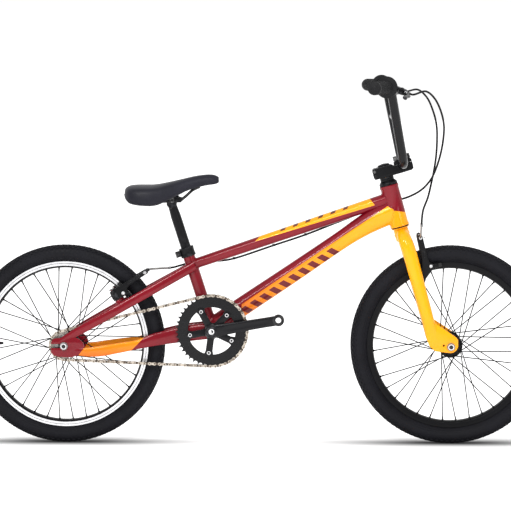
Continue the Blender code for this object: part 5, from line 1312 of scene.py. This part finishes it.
adjusters, pivots_of = {}, {}
for side, name in ((-1, "R"), (1, "L")):
    base, tip = Vector((GRIP_FROM.x, side * GRIP_FROM.y, GRIP_FROM.z)), Vector((GRIP_TO.x, side * GRIP_TO.y, GRIP_TO.z))
    along = (tip - base).normalized()
    L = (tip - base).length
    prof = [(11.7, 38.7), (25.8, 38.7), (26.5, 39.4), (26.5, 41.4), (25.6, 42.2), (18.4, 43.2), (16.2, 45.0)]
    h = 48.0
    while h < L - 14:
        prof += [(15.1, h), (15.9, h + 0.7), (15.9, h + 2.0), (15.1, h + 2.7)]
        h += 4.2
    prof += [(15.8, L - 9), (16.0, L - 2), (15.6, L + 3.2), (14.0, L + 4.4), (0, L + 4.5), (0, L + 0.3), (11.7, L + 0.3)]
    c, x, y, z = axes(base, along)
    lathe("grip_%s_looks" % name, prof, base, along, GRIP, "steering", "grip_rubber", 60, sharp=50)
    lathe("grip_end_%s" % name, [(0, L + 4.4), (6.5, L + 4.4), (7.0, L + 5.0), (6.5, L + 5.3), (0, L + 5.3)], base, along, PLASTIC, "steering", "saddle_plastic", 32)
    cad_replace.append(("grip_%s_looks" % name, "grip_" + name))
    ahead = Vector((0, 0, 1)).cross(along)
    ahead = -ahead if ahead.x < 0 else ahead
    tilt = math.radians(20)
    reach = (ahead * math.cos(tilt) - Vector((0, 0, 1)) * math.sin(tilt)).normalized()
    normal = along.cross(reach).normalized()
    normal = -normal if normal.z < 0 else normal
    centre = base + along * 31

    def at(a, r, n_, centre=centre, along=along, reach=reach, normal=normal):
        return centre + along * a + reach * r + normal * n_
    lathe("lever_bracket_%s_looks" % name, [(11.7, -6), (15.0, -6), (15.6, -5.4), (15.6, 5.4), (15.0, 6), (11.7, 6)], centre, along, SATIN_BLACK, "steering", "black_alloy", 48)
    hood = [(8, -14), (14, -15.5), (30, -13.5), (44, -12), (46, -8), (44.5, 4), (38, 8.5), (20, 9.5), (12, 8), (8, 2)]
    slab("lever_hood_" + name, hood, 5.0, plane_at(at(0, 0, 7.8), reach, along), SATIN_BLACK, "steering", "black_alloy", bevel=1.4, steps=3)
    slab("lever_neck_" + name, [(9, -12), (28, -12), (28, -2), (9, -1)], 9.0, plane_at(at(0, 0, 4.0), reach, along), SATIN_BLACK, "steering", "black_alloy", bevel=1.2, steps=2)
    socket_bolt("bracket_bolt_" + name, 2.8, at(-2, 13, -6), at(-2, 13, -10), BOLT, "steering", "black_steel")
    a, b = at(-9, 20, 3), at(-14, 46, 3)
    d = (b - a).normalized()
    lathe("adjuster_" + name, [(0, 0), (3.2, 0), (3.2, 14), (4.3, 14.4), (4.3, 21.6), (3.6, 22.4), (3.6, (b - a).length), (2.6, (b - a).length + 0.2), (0, (b - a).length + 0.2)], a, d, CHROME, "steering", "bright_steel", 48,
          ripple=lambda t, r, h: 0.25 * math.cos(t * 14) if r > 4.1 else 0)
    adjusters[name] = (b, d)
    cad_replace.append(("lever_bracket_%s_looks" % name, "lever_bracket_" + name))
    pivot = at(2, 36, 0)
    pivots_of[name] = pivot
    pts = [(-1, 0, 5.6, 4.2), (5, 11, 5.4, 4.2), (13, 20, 4.9, 4.0), (26, 25, 4.8, 3.6), (55, 26, 4.9, 3.5), (84, 29, 5.0, 3.6), (93, 31.8, 5.2, 4.2), (97, 33.2, 4.2, 3.4)]
    fine = catmull(pts, 7)
    rows, path = [], [pivot + along * q[0] + reach * q[1] for q in fine]
    for i, q in enumerate(fine):
        t = (path[min(i + 1, len(path) - 1)] - path[max(i - 1, 0)]).normalized()
        s = normal
        u = t.cross(s)
        rows.append([path[i] + s * (math.copysign(abs(math.cos(w)) ** 0.8, math.cos(w)) * q[3]) + u * (math.sin(w) * q[2]) for w in [2 * math.pi * k / 20 for k in range(20)]])
    emit("lever_%s_looks" % name, [v for r in rows for v in r], ring_faces(len(rows), 20) + [tuple(range(20)), tuple(range((len(rows) - 1) * 20, len(rows) * 20))], SATIN_BLACK, "brake_lever_" + name, "black_alloy", sharp=60)
    lathe("lever_eye_" + name, [(0, -4.9), (5.6, -4.9), (6.3, -4.2), (6.3, 4.2), (5.6, 4.9), (0, 4.9)], pivot, normal, SATIN_BLACK, "brake_lever_" + name, "black_alloy", 32)
    socket_bolt("lever_pivot_" + name, 3.6, pivot + normal * 5.2, pivot + normal * 12.2, BOLT, "steering", "black_steel")
    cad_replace.append(("lever_%s_looks" % name, "lever_" + name))

# ------------------------------------------------------------------ brake arms
def turned_about(objs, foot, axis, angle):
    m = Matrix.Translation(foot * MM) @ Matrix.Rotation(angle, 4, axis) @ Matrix.Translation(-foot * MM)
    for o in objs:
        o.data.transform(m)


for side, name in ((-1, "R"), (1, "L")):
    # front
    body = "front_arm_" + name
    foot = on_head(12, BRAKE_U, side * 29.0)
    out = [(5.2, -7), (18, -7), (22, -1), (28, 9), (44, 22), (52, 29), (54, 36), (52, 42), (47, 47), (45.2, 56), (46, 80), (47, 108), (46, 116), (42, 120), (36, 119), (33.4, 112), (31.6, 80), (30.4, 62), (25, 38), (14, 18), (5.2, 8)]
    out = [(v, u + BRAKE_U) for v, u in out]
    inward = head_fwd.cross(head_up).y * -side
    lean = math.radians(-4.0) * (1 if inward > 0 else -1)
    objs = [slab("brake_arm_front_%s_looks" % name, out, 8.8, steer_plane(side * 29.0), SATIN_BLACK, body, "black_alloy", bevel=2.2, steps=4),
            slab("front_arm_rib_" + name, [(v * 1.0, u + BRAKE_U) for v, u in ((36.5, 60), (41.5, 62), (42.8, 100), (38.6, 102))], 10.4, steer_plane(side * 29.0), SATIN_BLACK, body, "black_alloy", bevel=1.0),
            lathe("front_barrel_" + name, [(4.5, 5), (7.6, 5), (8.2, 5.6), (8.2, 17.4), (7.6, 18), (4.5, 18)], on_head(0, BRAKE_U, side * 29.0), head_fwd, SATIN_BLACK, body, "black_alloy", 40),
            rod("front_anchor_" + name, 4.2, on_head(41, BRAKE_U + 112, side * 29.0 - 6.4), on_head(41, BRAKE_U + 112, side * 29.0 + 6.4), CHROME, body, "bright_steel", 24)]
    turned_about(objs, foot, head_fwd, lean)
    pad_at = on_head(47.5, BRAKE_U + 36)
    radial = (pad_at - FRONT).normalized()
    mid = FRONT + radial * 203.0
    tangent = Vector((-radial.z, 0, radial.x))
    brick("front_pad_" + name, (55, 9.2, 7.6), plane_at(Vector((mid.x, side * 21.2, mid.z)), tangent, radial), PAD, body, "grip_rubber", 1.4)
    brick("front_shoe_" + name, (40, 8.0, 2.0), plane_at(Vector((mid.x, side * 25.6, mid.z)), tangent, radial), SATIN_BLACK, body, "black_alloy", 0.8)
    lathe("front_pad_washers_" + name, [(0, 25), (6.6, 25), (7.2, 27.5), (6.4, 30), (0, 30)], Vector((pad_at.x, 0, pad_at.z)), (0, side, 0), CHROME, body, "bright_steel", 32)
    socket_bolt("front_pad_bolt_" + name, 4.2, Vector((pad_at.x, side * 34.0, pad_at.z)), Vector((pad_at.x, side * 40.5, pad_at.z)), CHROME, body, "bright_steel")
    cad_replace.append(("brake_arm_front_%s_looks" % name, "brake_arm_front_" + name))
    lathe("front_spring_cap_" + name, [(0, 18.2), (6.8, 18.2), (7.2, 18.8), (6.6, 21.0), (0, 21.2)], on_head(0, BRAKE_U, side * 29.0), head_fwd, BOLT, "steering", "black_steel", 24)
    # rear
    body = "rear_arm_" + name
    foot = rear_brake(0, 30, side * 44.0)
    out = [(-8, 20.4), (-9, 30), (-8.5, 40), (-5, 46.5), (0, 48.6), (30, 49.0), (70, 50.2), (94, 50.6), (100, 48), (101.4, 44), (99, 41.2), (62, 39.2), (44, 37.4), (36, 34), (33, 27), (31, 21.6), (26, 20.4)]
    plane = plane_at(BRAKE_FOOT + Vector((0, side * 44.0, 0)), STAY, STAY_OUT)
    inward = STAY_OUT.cross(STAY).y * -side
    lean = math.radians(5.0) * (1 if inward > 0 else -1)
    objs = [slab("brake_arm_rear_%s_looks" % name, out, 8.8, plane, SATIN_BLACK, body, "black_alloy", bevel=2.2, steps=4),
            slab("rear_arm_rib_" + name, [(42, 41.5), (92, 43.2), (91, 47.6), (44, 46.4)], 10.4, plane, SATIN_BLACK, body, "black_alloy", bevel=1.0),
            lathe("rear_barrel_" + name, [(4.5, 20.2), (7.6, 20.2), (8.2, 20.8), (8.2, 45.4), (7.6, 46), (4.5, 46)], BRAKE_FOOT + Vector((0, side * 44.0, 0)), STAY_OUT, SATIN_BLACK, body, "black_alloy", 40),
            rod("rear_anchor_" + name, 4.2, rear_brake(93, 46, side * 44.0 - 6.4), rear_brake(93, 46, side * 44.0 + 6.4), CHROME, body, "bright_steel", 24)]
    turned_about(objs, foot, STAY_OUT, lean)
    pad_at = rear_brake(22.0, 28.5)
    radial = (pad_at - REAR).normalized()
    mid = REAR + radial * 203.0
    tangent = Vector((-radial.z, 0, radial.x))
    brick("rear_pad_" + name, (55, 9.2, 7.6), plane_at(Vector((mid.x, side * 21.2, mid.z)), tangent, radial), PAD, body, "grip_rubber", 1.4)
    brick("rear_shoe_" + name, (40, 8.0, 2.0), plane_at(Vector((mid.x, side * 25.6, mid.z)), tangent, radial), SATIN_BLACK, body, "black_alloy", 0.8)
    lathe("rear_pad_washers_" + name, [(0, 25), (6.6, 25), (7.2, 29), (6.6, 36), (0, 38)], Vector((pad_at.x, 0, pad_at.z)), (0, side, 0), CHROME, body, "bright_steel", 32)
    socket_bolt("rear_pad_bolt_" + name, 4.4, Vector((pad_at.x, side * 46.5, pad_at.z)), Vector((pad_at.x, side * 53.0, pad_at.z)), CHROME, body, "bright_steel")
    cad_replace.append(("brake_arm_rear_%s_looks" % name, "brake_arm_rear_" + name))
    socket_bolt("rear_pivot_bolt_" + name, 6.2, rear_brake(0, 48.8, side * 44.0), rear_brake(0, 51.6, side * 44.0), BOLT, "frame", "black_steel")

# noodles and the wire between the arms
top = on_head(41, BRAKE_U + 112)
noodle = rounded([top + Vector((0, -22, 0)), top + Vector((0, -58, 0)), top + Vector((1.5, -61, 30))], 17, 9)
wire("front_noodle", noodle, 2.6, ZINC, "front_arm_R", "bright_steel", 16)
front_end = top + Vector((1.6, -61.2, 31))
wire("front_boot", [top + Vector((0, y, 0)) for y in [-22 + i * 2 for i in range(18)]], [3.4 + (0.8 if i % 2 else 0.0) - i * 0.06 for i in range(18)], PLASTIC, "front_arm_R", "grip_rubber", 16)
wire("front_inner_wire", [top + Vector((0, 12, 0)), top + Vector((0, 30, 0)), top + Vector((3, 37.5, -2))], 0.8, ZINC, "front_arm_L", "bright_steel", 8)
wire("front_wire_tail", [top + Vector((0, 38, -4)), top + Vector((10, 40, -4)), top + Vector((17, 41, -7))], 0.8, ZINC, "front_arm_L", "bright_steel", 8)
top = rear_brake(93, 46)
noodle = rounded([top + Vector((0, 22, 0)), top + Vector((0, 62, 0)), top + Vector((52, 62, 3.5))], 17, 9)
wire("rear_noodle", noodle, 2.6, ZINC, "rear_arm_L", "bright_steel", 16)
rear_end = top + Vector((54.0, 62.1, 3.6))
wire("rear_boot", [top + Vector((0, y, 0)) for y in [22 - i * 2 for i in range(18)]], [3.4 + (0.8 if i % 2 else 0.0) - i * 0.06 for i in range(18)], PLASTIC, "rear_arm_L", "grip_rubber", 16)
wire("rear_inner_wire", [top + Vector((0, -12, 0)), top + Vector((0, -30, 0)), top + Vector((0, -37.5, 0))], 0.8, ZINC, "rear_arm_R", "bright_steel", 8)

# ------------------------------------------------------------------ brake cables
a, a_out = adjusters["R"]
b, b_out = adjusters["L"]
rear_route = [a + a_out * 1.4, a + a_out * 14, (411, -180, 887), (432, -158, 871), (450, -128, 838), (459, -104, 802), (458, -82, 762),
              (451, -57, 720), (440, -32, 683), (430, -12, 662), (415, 5, 643), (397, 19, 629), (376, 29, 618.5), (352, 33, 611),
              (320, 30.5, 603), (280, 25, 590), (240, 21.5, 571.5), (200, 17, 556), (120, 7, 525.3), (40, 4, 498.5), (-60, 6, 465.0),
              (-90, 13, 459), (-115, 21, 457), (-140, 28.5, 457), (-160, 35, 454.5), (-180, 44, 449), (-200, 53, 442.5), (-214, 59.5, 438), rear_end]
front_route = [b + b_out * 1.4, b + b_out * 12, (407, 177, 886), (428, 156, 868), (443, 124, 834), (451, 96, 798), (451, 66, 758),
               (447, 36, 718), (440, 6, 683), (433, -16, 655), (424, -36, 622), (412, -51, 592), front_end + Vector((1.0, 0, 20)), front_end]
path = smooth_path(rear_route, 260)
cut_at = min(range(len(path)), key=lambda i: (path[i] - Vector((-140, 28.5, 457))).length)
rear_cable = wire("rear_cable_looks", path[:cut_at + 1], 2.5, CABLE, None, "cable_jacket", 14)
rear_cable_end = wire("rear_cable_end", path[cut_at:], 2.5, CABLE, None, "cable_jacket", 14)
front_cable = wire("front_cable_looks", smooth_path(front_route, 150), 2.5, CABLE, None, "cable_jacket", 14)
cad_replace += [("rear_cable_looks", "rear_brake_cable"), ("front_cable_looks", "front_brake_cable")]
for n, (p, d) in adjusters.items():
    wire("ferrule_" + n, [p + d * 0.3, p + d * 1.5, p + d * 9, p + d * 10], [3.0, 3.1, 3.1, 2.7], BOLT, "steering", "black_steel", 16)
wire("ferrule_front_noodle", [front_end + Vector((0, 0, -2)), front_end + Vector((0.2, 0, 6)), front_end + Vector((0.3, 0, 7))], [3.1, 3.1, 2.6], BOLT, "front_arm_R", "black_steel", 16)
d = (Vector(rear_route[-2]) - rear_end).normalized()
wire("ferrule_rear_noodle", [rear_end - d * 2, rear_end + d * 5, rear_end + d * 6], [3.1, 3.1, 2.6], BOLT, "rear_arm_L", "black_steel", 16)
# clips that hold the rear cable to the top tube
for i, x in enumerate((200.0, 120.0, 40.0, -60.0)):
    p = min(path, key=lambda q: abs(q.x - x) + (1000 if q.y > 30 else 0))
    wire("cable_clip_%d" % i, [p + Vector((-3, 0, 0)), p + Vector((3, 0, 1))], 3.3, PLASTIC, "frame", "saddle_plastic", 16)

# ------------------------------------------------------------------ riding on the bodies
for obj, body, slot in pieces:
    if body:
        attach(obj, body)
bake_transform(rear_cable)
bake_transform(rear_cable_end)
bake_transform(front_cable)
for looks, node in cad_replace:
    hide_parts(node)

# ------------------------------------------------------------------ floor, light and camera
bm = bmesh.new()
bmesh.ops.create_grid(bm, x_segments=2, y_segments=2, size=30)
mesh = bpy.data.meshes.new("floor")
bm.to_mesh(mesh)
bm.free()
floor = bpy.data.objects.new("floor", mesh)
scene.collection.objects.link(floor)
white = Shade("floor_white", (0.9, 0.9, 0.9), 0.9, 0.0, Specular_IOR_Level=0.0, Emission_Color=(1, 1, 1, 1), Emission_Strength=0.55)
fx, fy, fz = white.xyz()


# painted shadow: a soft dark ellipse in the floor's colour round one wheel's contact point
def painted_shadow_pool(x0):
    dx = white.math("DIVIDE", white.math("SUBTRACT", fx, x0), 0.36)
    dy = white.math("DIVIDE", fy, 0.062)
    r2 = white.math("ADD", white.math("MULTIPLY", dx, dx), white.math("MULTIPLY", dy, dy))
    return white.math("DIVIDE", 1.0, white.math("ADD", 1.0, white.math("MULTIPLY", r2, white.math("ADD", 1.0, r2))))


# painted shadow under both wheels: the floor colour darkens and its glow dims there
dark = white.math("MULTIPLY", white.math("MAXIMUM", painted_shadow_pool(-0.483), painted_shadow_pool(0.483)), 0.96)
white.base(white.mix(dark, (0.9, 0.9, 0.9), (0.02, 0.02, 0.022)))
white.put(white.b.inputs["Emission Strength"], white.math("MULTIPLY", white.math("SUBTRACT", 1.0, dark), 0.55))
mesh.materials.append(white.m)
floor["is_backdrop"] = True

# a pale studio: white all round, and pale grey in front, so that dark parts stay dark
world = bpy.data.worlds.new("studio") if scene.world is None else scene.world
scene.world = world
world.use_nodes = True
tree = world.node_tree
back = tree.nodes["Background"]
back.inputs[1].default_value = 1.0
coord = tree.nodes.new("ShaderNodeTexCoord")
part = tree.nodes.new("ShaderNodeSeparateXYZ")
tree.links.new(coord.outputs["Generated"], part.inputs[0])


def world_ramp(value, lo, hi, to_lo, to_hi):
    n = tree.nodes.new("ShaderNodeMapRange")
    n.interpolation_type = "SMOOTHSTEP"
    tree.links.new(value, n.inputs[0])
    for i, x in enumerate((lo, hi, to_lo, to_hi)):
        n.inputs[i + 1].default_value = x
    return n.outputs[0]


behind = world_ramp(part.outputs[1], -0.8, -0.15, 0.42, 1.03)
above = world_ramp(part.outputs[2], 0.45, 0.95, 0.0, 0.9)
both = tree.nodes.new("ShaderNodeMath")
both.operation = "MAXIMUM"
tree.links.new(behind, both.inputs[0])
tree.links.new(above, both.inputs[1])
tree.links.new(both.outputs[0], back.inputs[0])


def area(name, place, target, size, power, size_y=None):
    light = bpy.data.lights.new(name, "AREA")
    light.shape = "RECTANGLE"
    light.size = size
    light.size_y = size_y or size
    light.energy = power
    obj = bpy.data.objects.new(name, light)
    scene.collection.objects.link(obj)
    obj.location = place
    obj.rotation_euler = (Vector(target) - Vector(place)).to_track_quat("-Z", "Y").to_euler()


area("key", (-0.9, -3.4, 2.9), (0, 0, 0.4), 1.4, 58)
area("fill", (2.6, -3.4, 1.7), (0, 0, 0.4), 1.2, 16)
area("strip", (0.0, -2.1, 2.3), (0, 0, 0.4), 3.6, 30, 0.07)

camera = bpy.data.cameras.new("camera")
camera.sensor_width = 36
camera.lens = 2399.1 / 511 * 36
camera.clip_end = 200
cam = bpy.data.objects.new("camera", camera)
scene.collection.objects.link(cam)
cam.location = (0.139, -6.0, 0.976)
cam.rotation_euler = (math.radians(90 - 4.79), 0, math.radians(1.38))
scene.camera = cam
scene.view_settings.view_transform = "Standard"
scene.view_settings.look = "None"

low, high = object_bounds()
